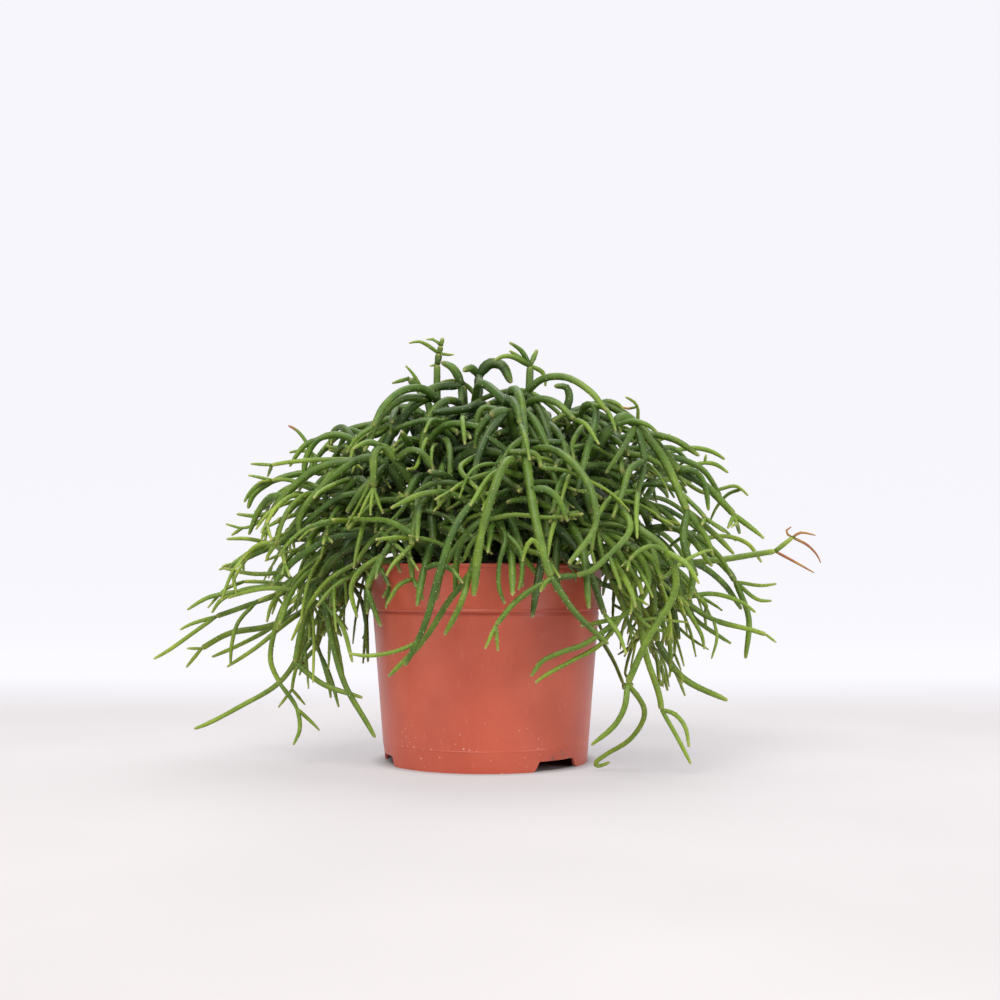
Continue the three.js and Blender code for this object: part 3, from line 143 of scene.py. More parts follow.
# %% Routes of the cuttings
CUTTINGS = {
    "standing_twig": [
        [2.1, 1.8, [-16, 8], [-20, 9, 130], [-25, 10, 165], [-26, 10, 192], [-26, 10, 207]],
        [1.8, 1.7, [-26, 10, 207], [-25, 10, 213]],
        [1.7, 1.5, [-25, 10, 213], [-24, 10, 217]],
        [1.5, 1.2, [-24, 10, 217], [-23, 10, 221.5]],
        [1.2, 0.8, [-25, 10, 213], [-31, 9, 217], [-36, 8, 219], [-41, 8, 218]],
        [1.0, 0.7, [-24, 10, 217], [-28, 11, 220.5], [-32, 11, 220.5]],
        [1.0, 0.7, [-25, 10, 213], [-21, 8, 212], [-17, 8, 212]],
        [0.9, 0.6, [-26, 10, 207], [-30, 9, 206]],
    ],
    "star_twig": [
        [2.4, 1.9, [14, 0], [18, -1, 140], [22, -1, 175], [24, 0, 190], [23, 0, 205]],
        [1.5, 1.1, [23, 0, 205], [19, -2, 212], [12, -3, 217]],
        [1.3, 1.0, [23, 0, 205], [17, -4, 210], [12, -6, 212]],
        [1.6, 1.1, [23, 0, 205], [15, -7, 208], [10, -9, 209], [4, -11, 206]],
        [1.4, 1.2, [23, 0, 205], [26, 1, 210], [27, 2, 214]],
        [1.4, 1.0, [24, 0, 203], [29, -1, 202], [31, -1, 198], [31, -1, 194]],
    ],
    "crown_left_fan": [
        [2.2, 2.0, [-25, 13], [-27, 14, 140], [-30, 16, 180], [-36, 16, 193], [-42, 15, 200]],
        [1.3, 0.8, [-36, 16, 193], [-39, 16, 201], [-44, 15, 207]],
        [1.4, 0.8, [-40, 15, 197], [-46, 13, 199], [-51, 12, 197]],
    ],
    "crown_left_arch": [
        [2.6, 2.4, [-8, -4], [-9, -5, 150], [-11, -6, 180], [-12, -6, 194]],
        [2.2, 1.9, [-12, -6, 194], [-24, -10, 193], [-33, -14, 187], [-41, -18, 178], [-46, -20, 166]],
        [2.3, 2.0, [-12, -6, 194], [-15, -8, 200], [-19, -8, 205], [-23, -8, 206]],
        [1.8, 1.3, [-12, -6, 190], [-13, -12, 186], [-12, -15, 180]],
        [2.0, 1.7, [-12, -6, 185], [-18, -26, 184], [-26, -32, 178], [-30, -34, 168], [-31, -36, 156]],
        [1.5, 1.1, [-31, -36, 156], [-28, -42, 150], [-24, -46, 147]],
    ],
    "crown_top_arch": [
        [2.6, 2.4, [4, 5], [1, 4, 150], [-4, 3, 188], [-4, 1, 200]],
        [2.9, 2.3, [-4, 1, 200], [2, 0, 206], [8, -2, 205], [12, -4, 200], [13, -6, 195]],
        [2.2, 1.8, [-4, 1, 200], [-8, -5, 203], [-12, -10, 201]],
        [1.6, 1.2, [-4, 1, 196], [-3, -12, 195], [2, -17, 192], [5, -19, 187]],
    ],
    "centre_double_arch": [
        [2.5, 2.3, [10, -14], [12, -32, 140], [10, -50, 165], [8, -58, 174], [4, -61, 177],
            [-1, -62, 173]],
        [2.2, 1.5, [4, -61, 177], [-1, -65, 166], [-4, -68, 157], [-7, -70, 147], [-8, -71, 140],
            [-6, -71, 133]],
        [1.9, 1.3, [-1, -62, 173], [-6, -60, 166], [-8, -60, 157]],
        [1.9, 1.4, [10, -48, 163], [0, -46, 178], [-6, -46, 177], [-8, -47, 168]],
    ],
    "centre_long_stem": [
        [2.6, 2.0, [18, -11], [17, -18, 150], [13, -30, 180], [14, -40, 186], [17, -58, 169],
            [18, -75, 152], [20, -87, 135], [23, -95, 119], [26, -98, 104], [29, -98, 95]],
        [1.6, 1.2, [29, -98, 95], [34, -98, 88], [40, -96, 79], [48, -92, 70], [56, -88, 64]],
        [1.5, 1.0, [23, -95, 119], [20, -98, 112], [16, -99, 102]],
        [1.7, 0.95, [18, -75, 152], [11, -76, 152], [7, -77, 145]],
        [1.6, 0.95, [18, -75, 152], [24, -78, 149], [26, -79, 143]],
        [1.9, 1.3, [20, -87, 135], [27, -90, 135], [33, -92, 130], [37, -92, 120]],
        [1.3, 1.0, [29, -98, 95], [26, -99, 92], [24, -99, 88]],
    ],
    "right_long_arch": [
        [2.3, 1.4, [26, -8], [25, -20, 135], [24, -40, 152], [28, -58, 157], [35, -66, 157],
            [43, -75, 151], [49, -82, 143], [53, -88, 133], [54, -90, 121], [49, -92, 112],
            [41, -95, 102]],
        [1.6, 1.2, [28, -58, 157], [34, -62, 148], [40, -66, 138], [43, -70, 126]],
    ],
    "right_hook": [
        [2.4, 1.5, [34, 2], [40, -5, 140], [46, -25, 170], [48, -33, 177], [51, -36, 181],
            [54, -39, 177], [52, -48, 166], [49, -55, 157], [46, -60, 146], [42, -64, 133]],
        [2.1, 1.9, [42, -12, 155], [41, -10, 178], [43, -10, 188], [39, -10, 195], [35, -10, 193]],
        [1.5, 0.99, [46, -25, 170], [39, -28, 176], [33, -30, 172]],
    ],
    "right_crown_arch": [
        [2.7, 2.5, [37, -15], [43, -22, 130], [50, -35, 152], [57, -43, 162], [63, -45, 170],
            [69, -45, 174], [74, -45, 170]],
        [1.8, 1.2, [74, -45, 170], [70, -50, 162], [65, -52, 156], [58, -54, 145]],
        [1.9, 1.3, [74, -45, 170], [77, -49, 158], [77, -50, 149], [74, -51, 136]],
        [2.1, 1.8, [74, -45, 170], [84, -43, 159], [90, -45, 147], [95, -48, 137], [98, -52, 127]],
        [1.7, 1.2, [98, -52, 127], [103, -53, 118], [108, -54, 112], [110, -54, 105]],
        [1.7, 1.2, [98, -52, 127], [106, -48, 121], [114, -46, 114], [122, -44, 106]],
        [1.9, 1.5, [98, -52, 127], [95, -57, 116], [97, -60, 106], [99, -62, 95], [97, -63, 84]],
    ],
    "right_top_arch": [
        [2.4, 2.0, [30, 15], [36, 8, 140], [46, -4, 172], [56, -13, 183], [66, -16, 181],
            [78, -20, 172], [88, -22, 161], [98, -23, 148]],
        [1.7, 1.3, [98, -23, 148], [105, -26, 148], [110, -27, 142], [112, -28, 128]],
        [2.0, 1.7, [98, -23, 148], [107, -20, 144], [114, -20, 139], [121, -21, 132], [126, -22, 126]],
        [1.3, 0.9, [126, -22, 126], [122, -25, 119]],
        [1.3, 0.9, [126, -22, 126], [128, -25, 117]],
        [1.5, 0.99, [126, -22, 126], [134, -22, 121], [141, -22, 114]],
    ],
    "right_back_arms": [
        [1.9, 1.6, [29, 27], [42, 27, 145], [62, 25, 166], [80, 24, 168], [96, 24, 161]],
        [1.4, 1.1, [96, 24, 161], [110, 28, 164], [121, 30, 163], [130, 30, 158]],
        [1.3, 1.0, [88, 24, 165], [94, 21, 168], [99, 20, 171]],
        [1.4, 1.1, [96, 24, 161], [105, 21, 153], [114, 19, 155], [122, 19, 155], [130, 19, 150]],
        [1.0, 0.8, [114, 19, 155], [118, 18, 160]],
        [1.3, 0.9, [88, 24, 165], [101, 15, 149], [115, 9, 139], [125, 6, 141], [132, 5, 142],
            [138, 5, 137]],
        [1.0, 0.9, [80, 24, 168], [81, 15, 180], [80, 12, 186], [74, 11, 190]],
        [0.8, 0.6, [80, 12, 186], [76, 15, 184], [71, 17, 186]],
    ],
    "bronze_tipped_arm": [
        [2.0, 1.4, [41, -6], [53, -12, 122], [70, -16, 116], [88, -16, 104], [104, -16, 102],
            [120, -15, 104], [134, -15, 106], [148, -15, 108]],
        [1.4, 1.0, [148, -15, 108], [153, -15, 112], [157, -15, 115]],
        [0.8, 0.5, [148, -15, 108], [158, -16, 102.5], [167.5, -17, 97]],
        [0.8, 0.5, [157, -15, 115], [164.5, -13, 111.5], [169.5, -12, 107], [172, -12, 102]],
        [0.8, 0.5, [157, -15, 115], [161, -17, 117.5], [168, -19, 116]],
        [0.7, 0.5, [157, -15, 115], [153.5, -15, 118], [156.5, -15, 120.5]],
    ],
    "right_skirt_arm": [
        [1.9, 1.5, [45, 9], [61, 8, 128], [85, 6, 128], [105, 3, 116], [118, 0, 105], [126, 0, 98],
            [130, 0, 92]],
        [1.5, 1.3, [130, 0, 92], [134, 0, 82], [137, 0, 72], [137, 0, 62], [135, 0, 52]],
        [1.0, 0.9, [130, 0, 92], [141, -2, 90], [151, -3, 91]],
        [1.1, 1.0, [132, 0, 86], [141, 0, 83], [149, 0, 82]],
        [1.3, 1.0, [105, 3, 116], [122, 5, 116], [133, 6, 114], [140, 6, 110], [145, 6, 102]],
    ],
    "right_low_spray": [
        [1.9, 1.7, [43, -20], [57, -27, 120], [75, -32, 119], [90, -34, 104], [96, -32, 92],
            [97, -31, 84]],
        [1.3, 1.0, [97, -31, 84], [107, -30, 86], [117, -30, 86], [126, -30, 83], [135, -30, 77]],
        [1.6, 1.1, [97, -31, 84], [105, -31, 78], [115, -30, 73], [127, -30, 70], [140, -30, 66]],
        [0.8, 0.6, [140, -30, 66], [145, -31, 62]],
        [1.3, 0.9, [97, -31, 84], [102, -37, 74], [106, -38, 68], [108, -38, 59]],
        [0.9, 0.7, [115, -30, 73], [115, -33, 65], [112, -34, 54]],
        [1.2, 1.0, [97, -31, 84], [106, -25, 73], [116, -23, 66], [124, -22, 61]],
    ],
    "right_low_long": [
        [2.0, 1.8, [37, -28], [50, -38, 118], [69, -44, 119], [80, -46, 103], [82, -45, 82],
            [84, -42, 63]],
        [1.7, 1.4, [84, -42, 63], [91, -41, 51], [100, -40, 43], [108, -40, 39], [119, -40, 34]],
        [1.4, 1.0, [82, -45, 82], [88, -49, 68], [90, -50, 56], [89, -50, 46]],
        [1.1, 1.0, [90, -50, 56], [94, -51, 49], [95, -51, 43]],
    ],
    "curled_tip_stem": [
        [1.9, 1.7, [30, -36], [42, -52, 122], [60, -68, 125], [76, -78, 116], [84, -81, 108],
            [88, -80, 98], [88, -80, 90], [84, -80, 81], [78, -80, 72], [73, -80, 63], [69, -79, 54],
            [66, -77, 46]],
        [1.5, 1.1, [66, -77, 46], [65, -80, 38], [62, -80, 30], [57, -78, 24], [49, -75, 17]],
        [1.3, 1.0, [66, -77, 46], [72, -72, 38], [75, -67, 32], [74, -61, 25], [69, -55, 17],
            [61, -49, 11], [56, -46, 7], [53, -45, 4], [56, -41, 2.6], [61, -38, 4]],
    ],
    "right_floor_pair": [
        [1.8, 1.4, [24, -41], [37, -57, 119], [56, -68, 117], [69, -67, 98], [73, -64, 78],
            [76, -61, 62], [80, -60, 50], [83, -60, 40], [84, -60, 33]],
        [1.1, 1.0, [84, -60, 33], [88, -60, 26], [93, -60, 17], [98, -60, 7]],
        [1.1, 1.0, [84, -60, 33], [90, -61, 31], [95, -61, 25], [97, -61, 15]],
    ],
    "front_left_crossing": [
        [2.1, 1.3, [0, -35], [4, -50, 124], [4, -66, 131], [-5, -80, 131], [-13, -88, 126],
            [-19, -93, 117], [-23, -95, 107], [-26, -95, 96], [-29, -95, 85], [-33, -92, 71],
            [-38, -88, 61], [-42, -84, 53]],
        [1.6, 1.3, [4, -66, 131], [-2, -80, 122], [-9, -86, 118], [-16, -87, 110], [-18, -86, 100],
            [-19, -85, 84]],
        [1.5, 1.4, [-16, -87, 110], [-23, -84, 101], [-27, -82, 90], [-28, -81, 82]],
    ],
    "front_centre_crossing": [
        [2.1, 1.8, [10, -31], [14, -55, 138], [13, -78, 150], [10, -88, 144], [8, -91, 136],
            [6, -93, 128], [4, -94, 119], [2, -94, 110], [1, -94, 101], [-1, -93, 86]],
        [1.6, 1.2, [2, -94, 110], [-2, -88, 98], [-8, -87, 90], [-14, -87, 82], [-20, -87, 72],
            [-28, -85, 62], [-35, -83, 55], [-42, -80, 48]],
        [1.1, 0.9, [-28, -85, 62], [-42, -82, 59], [-52, -80, 58], [-61, -79, 59]],
        [1.5, 1.3, [1, -94, 101], [-5, -95, 86], [-9, -94, 77], [-14, -92, 68]],
    ],
    "front_right_crossing": [
        [1.9, 1.4, [28, -26], [42, -45, 122], [58, -64, 126], [65, -78, 118], [62, -84, 110],
            [54, -87, 103], [47, -88, 97], [40, -88, 95]],
        [1.4, 1.2, [40, -88, 95], [34, -89, 95], [25, -90, 92], [16, -90, 87], [9, -90, 80],
            [3, -90, 73]],
        [1.0, 0.8, [3, -90, 73], [0, -90, 68], [-2, -90, 62]],
        [1.0, 0.8, [3, -90, 73], [4, -90, 67], [4, -90, 61]],
        [1.1, 0.9, [54, -87, 103], [58, -90, 96], [60, -91, 88]],
    ],
    "front_looped_pair": [
        [1.7, 1.2, [36, -35], [52, -56, 115], [68, -70, 110], [76, -74, 97], [74, -72, 86],
            [66, -70, 78], [58, -70, 71], [49, -70, 65], [40, -70, 60], [31, -70, 58], [25, -70, 54],
            [21, -70, 48]],
        [1.1, 1.0, [66, -70, 78], [54, -68, 63], [40, -67, 55], [30, -68, 50], [23, -69, 45]],
        [1.1, 1.0, [58, -70, 71], [50, -73, 73], [44, -75, 72]],
    ],
    "front_short_stem": [
        [1.7, 1.0, [-7, -41], [-3, -58, 122], [6, -74, 122], [11, -84, 116], [10, -88, 108],
            [8, -89, 100], [8, -89, 92], [11, -89, 83]],
        [1.2, 1.0, [11, -84, 116], [18, -88, 108], [18, -90, 98], [16, -90, 90]],
        [1.2, 0.9, [6, -74, 122], [-4, -76, 112], [-8, -76, 104], [-14, -77, 101]],
    ],
    "front_left_short": [
        [1.9, 1.5, [-20, -37], [-28, -56, 120], [-40, -68, 117], [-48, -75, 106], [-53, -75, 97],
            [-56, -74, 90]],
        [1.3, 1.1, [-56, -74, 90], [-54, -75, 82], [-49, -76, 72]],
        [1.4, 1.2, [-40, -68, 117], [-37, -76, 108], [-35, -80, 102], [-34, -81, 95]],
        [1.2, 1.0, [-34, -81, 95], [-39, -82, 93], [-43, -82, 89], [-46, -82, 83]],
        [1.2, 1.0, [-34, -81, 95], [-31, -83, 90], [-29, -83, 85]],
        [1.4, 1.1, [-48, -75, 106], [-60, -70, 98], [-64, -68, 88], [-61, -68, 76]],
    ],
    "left_big_arch": [
        [2.6, 1.5, [-22, -14], [-34, -18, 128], [-48, -20, 148], [-59, -20, 156], [-63, -20, 161],
            [-69, -20, 165], [-75, -20, 167], [-82, -20, 166], [-87, -20, 163], [-91, -20, 156],
            [-92, -20, 150], [-92, -20, 143]],
        [2.0, 1.4, [-48, -20, 148], [-60, -26, 147], [-72, -28, 148], [-82, -28, 143], [-86, -28, 136]],
    ],
    "left_front_arch": [
        [2.6, 1.7, [-27, -24], [-37, -32, 128], [-46, -38, 146], [-56, -40, 153], [-65, -40, 152],
            [-73, -40, 146], [-81, -41, 139], [-87, -42, 132], [-91, -42, 126], [-93, -42, 121],
            [-92, -42, 116]],
        [2.1, 1.7, [-46, -38, 146], [-54, -50, 144], [-60, -52, 138], [-65, -52, 132], [-68, -52, 126]],
        [1.6, 1.2, [-73, -40, 146], [-80, -34, 138], [-88, -32, 134]],
    ],
    "pale_shoot_stem": [
        [2.2, 1.9, [-17, -27], [-30, -42, 132], [-44, -54, 151], [-51, -59, 158], [-54, -61, 152],
            [-54, -62, 145], [-54, -62, 138]],
        [0.99, 0.7, [-54, -62, 138], [-58, -64, 130], [-61, -65, 123]],
        [0.99, 0.7, [-54, -62, 138], [-55, -65, 131], [-55, -66, 124]],
        [0.99, 0.7, [-54, -62, 138], [-52, -64, 131], [-49, -65, 125]],
        [0.99, 0.7, [-54, -62, 142], [-61, -62, 129], [-67, -62, 119]],
        [1.8, 1.2, [-44, -54, 151], [-36, -60, 156], [-29, -62, 153], [-25, -62, 146]],
    ],
    "left_outer_arch": [
        [2.1, 1.5, [-35, 0], [-50, 0, 130], [-70, 1, 145], [-86, 1, 149], [-97, 0, 148], [-107, 0, 146],
            [-117, 0, 141], [-122, 0, 136], [-124, 0, 130]],
        [1.3, 1.0, [-97, 0, 148], [-105, -5, 135], [-112, -6, 128], [-120, -6, 126], [-129, -6, 127]],
        [0.9, 0.8, [-112, -6, 128], [-121, -4, 121], [-128, -3, 120], [-135, -3, 122]],
        [1.0, 0.8, [-128, -3, 120], [-132, -3, 116]],
        [1.1, 0.9, [-86, 1, 149], [-92, 4, 160], [-98, 5, 170], [-104, 5, 174]],
        [1.1, 0.9, [-86, 1, 149], [-90, 7, 158], [-97, 9, 161], [-104, 9, 160]],
    ],
    "left_mid_arm": [
        [2.0, 1.3, [-31, -12], [-47, -12, 120], [-66, -11, 126], [-83, -10, 121], [-91, -10, 117],
            [-101, -10, 113], [-111, -10, 110], [-119, -10, 107], [-126, -10, 103], [-132, -10, 99]],
        [1.1, 1.0, [-111, -10, 110], [-121, -12, 114], [-133, -12, 114]],
        [1.1, 0.9, [-101, -10, 113], [-108, -17, 112], [-111, -19, 104]],
        [1.2, 1.0, [-91, -10, 117], [-98, -6, 103], [-107, -4, 97], [-117, -3, 96], [-127, -3, 97],
            [-136, -3, 99]],
    ],
    "left_low_fan": [
        [1.8, 1.4, [-37, 9], [-52, 7, 122], [-73, 4, 118], [-88, 1, 102], [-97, 0, 91], [-110, 0, 85],
            [-123, 0, 80], [-140, 0, 74]],
        [1.1, 0.9, [-140, 0, 74], [-149, 1, 72], [-159, 1, 67]],
        [1.1, 1.0, [-140, 0, 74], [-151, -1, 66], [-162, -1, 58], [-172, -1, 52]],
        [1.4, 1.0, [-97, 0, 91], [-108, -6, 90], [-117, -7, 89], [-128, -7, 87], [-136, -7, 83],
            [-141, -7, 76]],
        [1.0, 1.0, [-97, 0, 91], [-107, 6, 91], [-117, 7, 92], [-127, 7, 92]],
        [1.1, 0.9, [-123, 0, 80], [-127, -6, 72], [-130, -8, 63], [-131, -8, 49]],
    ],
    "left_low_droop": [
        [1.8, 1.4, [-34, 22], [-53, 21, 120], [-75, 18, 112], [-87, 14, 92], [-95, 10, 78],
            [-107, 8, 71], [-117, 8, 68], [-131, 8, 66], [-141, 8, 62], [-149, 8, 57]],
        [1.0, 0.9, [-149, 8, 57], [-153, 8, 53], [-157, 8, 47]],
        [0.9, 0.8, [-149, 8, 57], [-157, 9, 57]],
        [1.4, 1.0, [-87, 14, 92], [-100, 18, 80], [-111, 18, 70], [-122, 17, 62], [-132, 16, 58],
            [-145, 15, 52]],
        [1.3, 1.0, [-95, 10, 78], [-107, 1, 68], [-114, -1, 62], [-123, -2, 55], [-134, -2, 48]],
    ],
    "left_floor_stem": [
        [1.8, 1.1, [-39, -3], [-57, -5, 117], [-78, -6, 108], [-89, -6, 86], [-92, -6, 66],
            [-97, -5, 54], [-102, -3, 45], [-108, -1, 39], [-117, 0, 34], [-128, 0, 27], [-138, 0, 21],
            [-151, 0, 16]],
        [1.2, 0.9, [-92, -6, 66], [-86, -4, 56], [-82, -3, 44], [-80, -3, 32]],
        [1.1, 1.0, [-89, -6, 86], [-80, -8, 76], [-74, -9, 64]],
    ],
    "left_droop_pair": [
        [1.7, 1.3, [-31, -31], [-47, -36, 118], [-70, -33, 116], [-89, -27, 100], [-100, -22, 84],
            [-105, -20, 72], [-108, -20, 62], [-109, -20, 54], [-107, -20, 47], [-104, -20, 41]],
        [1.1, 1.0, [-104, -20, 41], [-99, -20, 35], [-96, -20, 30], [-94, -20, 23], [-94, -20, 17],
            [-97, -20, 10]],
        [1.0, 0.8, [-97, -20, 31], [-91, -19, 25], [-84, -18, 17]],
        [1.2, 0.9, [-89, -27, 100], [-99, -31, 90], [-106, -32, 82], [-109, -32, 72]],
    ],
    "left_inner_droop": [
        [1.8, 1.6, [-23, -43], [-41, -48, 116], [-64, -44, 112], [-79, -37, 100], [-87, -33, 88],
            [-90, -31, 76], [-93, -30, 65], [-95, -30, 53]],
        [1.4, 1.1, [-95, -30, 53], [-88, -31, 47], [-80, -32, 42], [-71, -33, 39], [-61, -35, 36]],
        [1.6, 1.2, [-79, -37, 100], [-80, -41, 84], [-76, -42, 66], [-72, -43, 52], [-68, -44, 41],
            [-62, -44, 31], [-54, -44, 17]],
        [1.2, 1.0, [-80, -41, 84], [-73, -44, 76], [-67, -46, 64], [-65, -47, 54]],
    ],
}
print(len(CUTTINGS), "cuttings with known routes,", sum(len(stems) for stems in CUTTINGS.values()), "stems")

# %% [markdown]
# ## The cuttings that only follow a rule
#
# The crown, the back and the rim are a mass of arches with no route of their own to follow. Three
# families of cuttings fill them: each stem rises, tops out and bends down at a radius and height drawn
# from its family's ranges.

# %% Families of arching cuttings
FAMILIES = [
    dict(name="crown_stem", count=12, start=0.2, span=6.283, root=(9, 27), reach=(60, 82), apex=(166, 188),
         end=(108, 130), shoots=4, length=(36, 56), girth=(1.9, 2.3), droop=0.55),
    dict(name="back_stem", count=9, start=0.38, span=2.4, root=(33, 44), reach=(74, 90), apex=(136, 156),
         end=(62, 96), shoots=3, length=(26, 38), girth=(1.6, 1.9), droop=0.45),
    dict(name="rim_stem", count=3, start=3.5, span=2.3, root=(30, 42), reach=(62, 74), apex=(134, 152),
         end=(104, 114), shoots=4, length=(26, 40), girth=(1.8, 2.1), droop=0.5),
]
CANE_RADIUS = (2.3, 2.6)
CANE_TIP_RADIUS = 1.7


def arch_points(draw, azimuth, root, reach, apex, end):
    swing = draw(-0.7, 0.7)

    def at(radius, turn, z):
        return [radius * math.cos(azimuth + turn), radius * math.sin(azimuth + turn), z]

    return [
        at(root, 0, 0)[:2],
        at(root + 4, 0.1 * swing, 0.5 * apex + 50),
        at(0.35 * reach + 0.4 * root, 0.3 * swing, apex - 6),
        at(0.6 * reach, 0.6 * swing, apex),
        at(0.85 * reach, 0.8 * swing, 0.65 * apex + 0.35 * end),
        at(reach, swing, end),
    ]


def ruled_cuttings():
    draw = seeded(2025)
    made = []
    for family in FAMILIES:
        for i in range(family["count"]):
            azimuth = family["start"] + (i + 0.5) / family["count"] * family["span"] + draw(-0.1, 0.1)
            root, reach, apex, end = (draw(*family[key]) for key in ("root", "reach", "apex", "end"))
            points = arch_points(draw, azimuth, root, reach, apex, end)
            name = f"{family['name']}_{i + 1:02d}"
            made.append((name, [[draw(*CANE_RADIUS), CANE_TIP_RADIUS, *points]], family))
    return made


ROOT_SPACING = 7.2
ROOT_LIMIT = 47


def spread_roots(feet):
    for _ in range(200):
        for i in range(len(feet)):
            for j in range(i + 1, len(feet)):
                dx, dy = feet[j][0] - feet[i][0], feet[j][1] - feet[i][1]
                d = math.hypot(dx, dy)
                if d >= ROOT_SPACING:
                    continue
                share = 0.5 * (ROOT_SPACING - d) / max(d, 0.1)
                for foot, sign in ((feet[i], -1), (feet[j], 1)):
                    foot[0] += sign * share * dx
                    foot[1] += sign * share * dy
                    over = math.hypot(*foot) / ROOT_LIMIT
                    if over > 1:
                        foot[:] = [c / over for c in foot]


everything = [(name, stems, None) for name, stems in CUTTINGS.items()] + ruled_cuttings()
spread_roots([stems[0][2] for _, stems, _ in everything])
print(len(everything), "cuttings in one pot")

# %% [markdown]
# ## From routes to particles
#
# Settling needs points that can be pushed about. A smooth curve runs through each route, and a particle
# is kept wherever the stem has bent or run far enough. Where one stem leaves another, the two share a
# particle.

# %% Particles and strands
MAX_TURN = 0.48
MAX_RUN = 14


def curve_samples(points):
    """Eight samples a span of the Catmull-Rom curve through the points."""
    p = np.array(points, float)
    p = np.vstack([2 * p[0] - p[1], p, 2 * p[-1] - p[-2]])
    spans = len(p) - 3
    samples = []
    for i in range(8 * spans + 1):
        u = i / (8 * spans) * spans
        k = min(int(u), spans - 1)
        w = u - k
        p0, p1, p2, p3 = p[k : k + 4]
        t0, t1 = 0.5 * (p2 - p0), 0.5 * (p3 - p1)
        samples.append(
            p1 + t0 * w + (-3 * p1 + 3 * p2 - 2 * t0 - t1) * w**2 + (2 * p1 - 2 * p2 + t0 + t1) * w**3
        )
    return np.array(samples)


def trace(points, radius):
    samples = curve_samples(points)
    steps = np.diff(samples, axis=0)
    lengths = np.linalg.norm(steps, axis=1)
    cosines = np.sum(steps[1:] * steps[:-1], axis=1) / (lengths[1:] * lengths[:-1])
    turns = np.arccos(np.clip(cosines, -1, 1))
    kept, run, turn = [0], 0.0, 0.0
    for i in range(1, len(samples) - 1):
        run += lengths[i - 1]
        turn += turns[i - 1]
        if run < 2.5 * radius or (turn < MAX_TURN and run < MAX_RUN * radius):
            continue
        kept.append(i)
        run = turn = 0.0
    if run < 2 * radius and len(kept) > 2:
        kept.pop()
    return samples[kept + [len(samples) - 1]]


class Plant:
    """Particles, and the strands that join them. A strand's first particle is the joint on its parent."""

    def __init__(self):
        self.position, self.radius, self.pinned, self.strands = [], [], [], []

    def particle(self, point, radius, pinned=False):
        self.position.append(np.array(point, float))
        self.radius.append(radius)
        self.pinned.append(pinned)
        return len(self.position) - 1

    def strand(self, cutting, base, tip, points, parent=-1, joint=-1):
        path = trace(points, 0.5 * (base + tip))
        ids = []
        for i, point in enumerate(path):
            radius = base + (tip - base) * i / (len(path) - 1)
            ids.append(joint if i == 0 and joint >= 0 else self.particle(point, radius))
        self.strands.append(dict(cutting=cutting, ids=ids, base=base, tip=tip, parent=parent))
        return len(self.strands) - 1

    def nearest(self, cutting, point):
        best, best_distance = None, 1e9
        for s, strand in enumerate(self.strands):
            if strand["cutting"] != cutting:
                continue
            for i in strand["ids"]:
                if self.pinned[i]:
                    continue
                distance = math.dist(point, self.position[i])
                if distance < best_distance - 1e-6:
                    best, best_distance = (s, i), distance
        return best

    def plant_cutting(self, cutting, stems):
        for k, (base, tip, *points) in enumerate(stems):
            if k == 0:
                x, y = points[0]
                top = float(soil_top(x, y)) + ROOT_COLLAR
                ids = self.strands[self.strand(cutting, base, tip, [[x, y, top], *points[1:]])]["ids"]
                self.pinned[ids[0]] = True
                ids.insert(0, self.particle([x, y, top - ROOT_COLLAR - ROOT_DEPTH], base, True))
                continue
            parent, joint = self.nearest(cutting, points[0])
            self.strand(cutting, base, tip, [self.position[joint], *points[1:]], parent, joint)


plant = Plant()
for number, (_, stems, _) in enumerate(everything):
    plant.plant_cutting(number, stems)
print(len(plant.strands), "stems,", len(plant.position), "particles")

# %% [markdown]
# ## Shoots that follow a rule
#
# New segments grow forward and outward from a joint and then droop, because they are heavy with water
# and limp.

# %% Drooping shoots
def unit(v):
    return v / math.sqrt(v[0] * v[0] + v[1] * v[1] + v[2] * v[2])


def grow_shoot(draw, parent, step, length, base, tip, droop, spread=1.2, follow=1.0, rise=(-0.2, 0.4)):
    strand = plant.strands[parent]
    ids = strand["ids"]
    here = plant.position[ids[step]]
    before = plant.position[ids[max(0, step - 1)]]
    after = plant.position[ids[min(len(ids) - 1, step + 1)]]
    forward = follow * unit(after - before)
    outward = math.atan2(here[1], here[0]) + draw(-spread, spread)
    lean = draw(0.55, 1.0)
    heading = unit(forward + [lean * math.cos(outward), lean * math.sin(outward), draw(*rise)])
    points = [here]
    for _ in range(4):
        points.append(points[-1] + heading * length / 4)
        heading = unit(heading + [draw(-0.12, 0.12), draw(-0.12, 0.12), -droop])
    return plant.strand(strand["cutting"], base, tip, points, parent, ids[step])


END_LENGTH = (16, 28)
END_DROOP = 0.35
BARE = ("standing_twig", "star_twig", "bronze_tipped_arm")


def grow_shoots():
    """A family's cutting gets several shoots, and every other one forks again. Any other gets one."""
    draw = seeded(77)
    for s, cane in [(s, strand) for s, strand in enumerate(plant.strands) if strand["parent"] < 0]:
        last = len(cane["ids"]) - 1
        name, _, family = everything[cane["cutting"]]
        if name in BARE:
            continue
        if family is None:
            step = 2 + int(draw(0, 0.7) * (last - 2))
            grow_shoot(draw, s, step, draw(*END_LENGTH), draw(1.3, 1.7), 1.0, END_DROOP)
            continue
        for i in range(family["shoots"]):
            step = int(last * (0.45 + 0.55 * i / (family["shoots"] - 1)) + 0.5)
            length = draw(*family["length"])
            second = grow_shoot(draw, s, step, length, draw(*family["girth"]), 1.4, family["droop"])
            if i % 2 == 0:
                tip = len(plant.strands[second]["ids"]) - 1
                grow_shoot(draw, second, tip, draw(*END_LENGTH), 1.3, 0.9, END_DROOP)


grow_shoots()
print(len(plant.strands), "stems after the shoots,", len(plant.position), "particles")

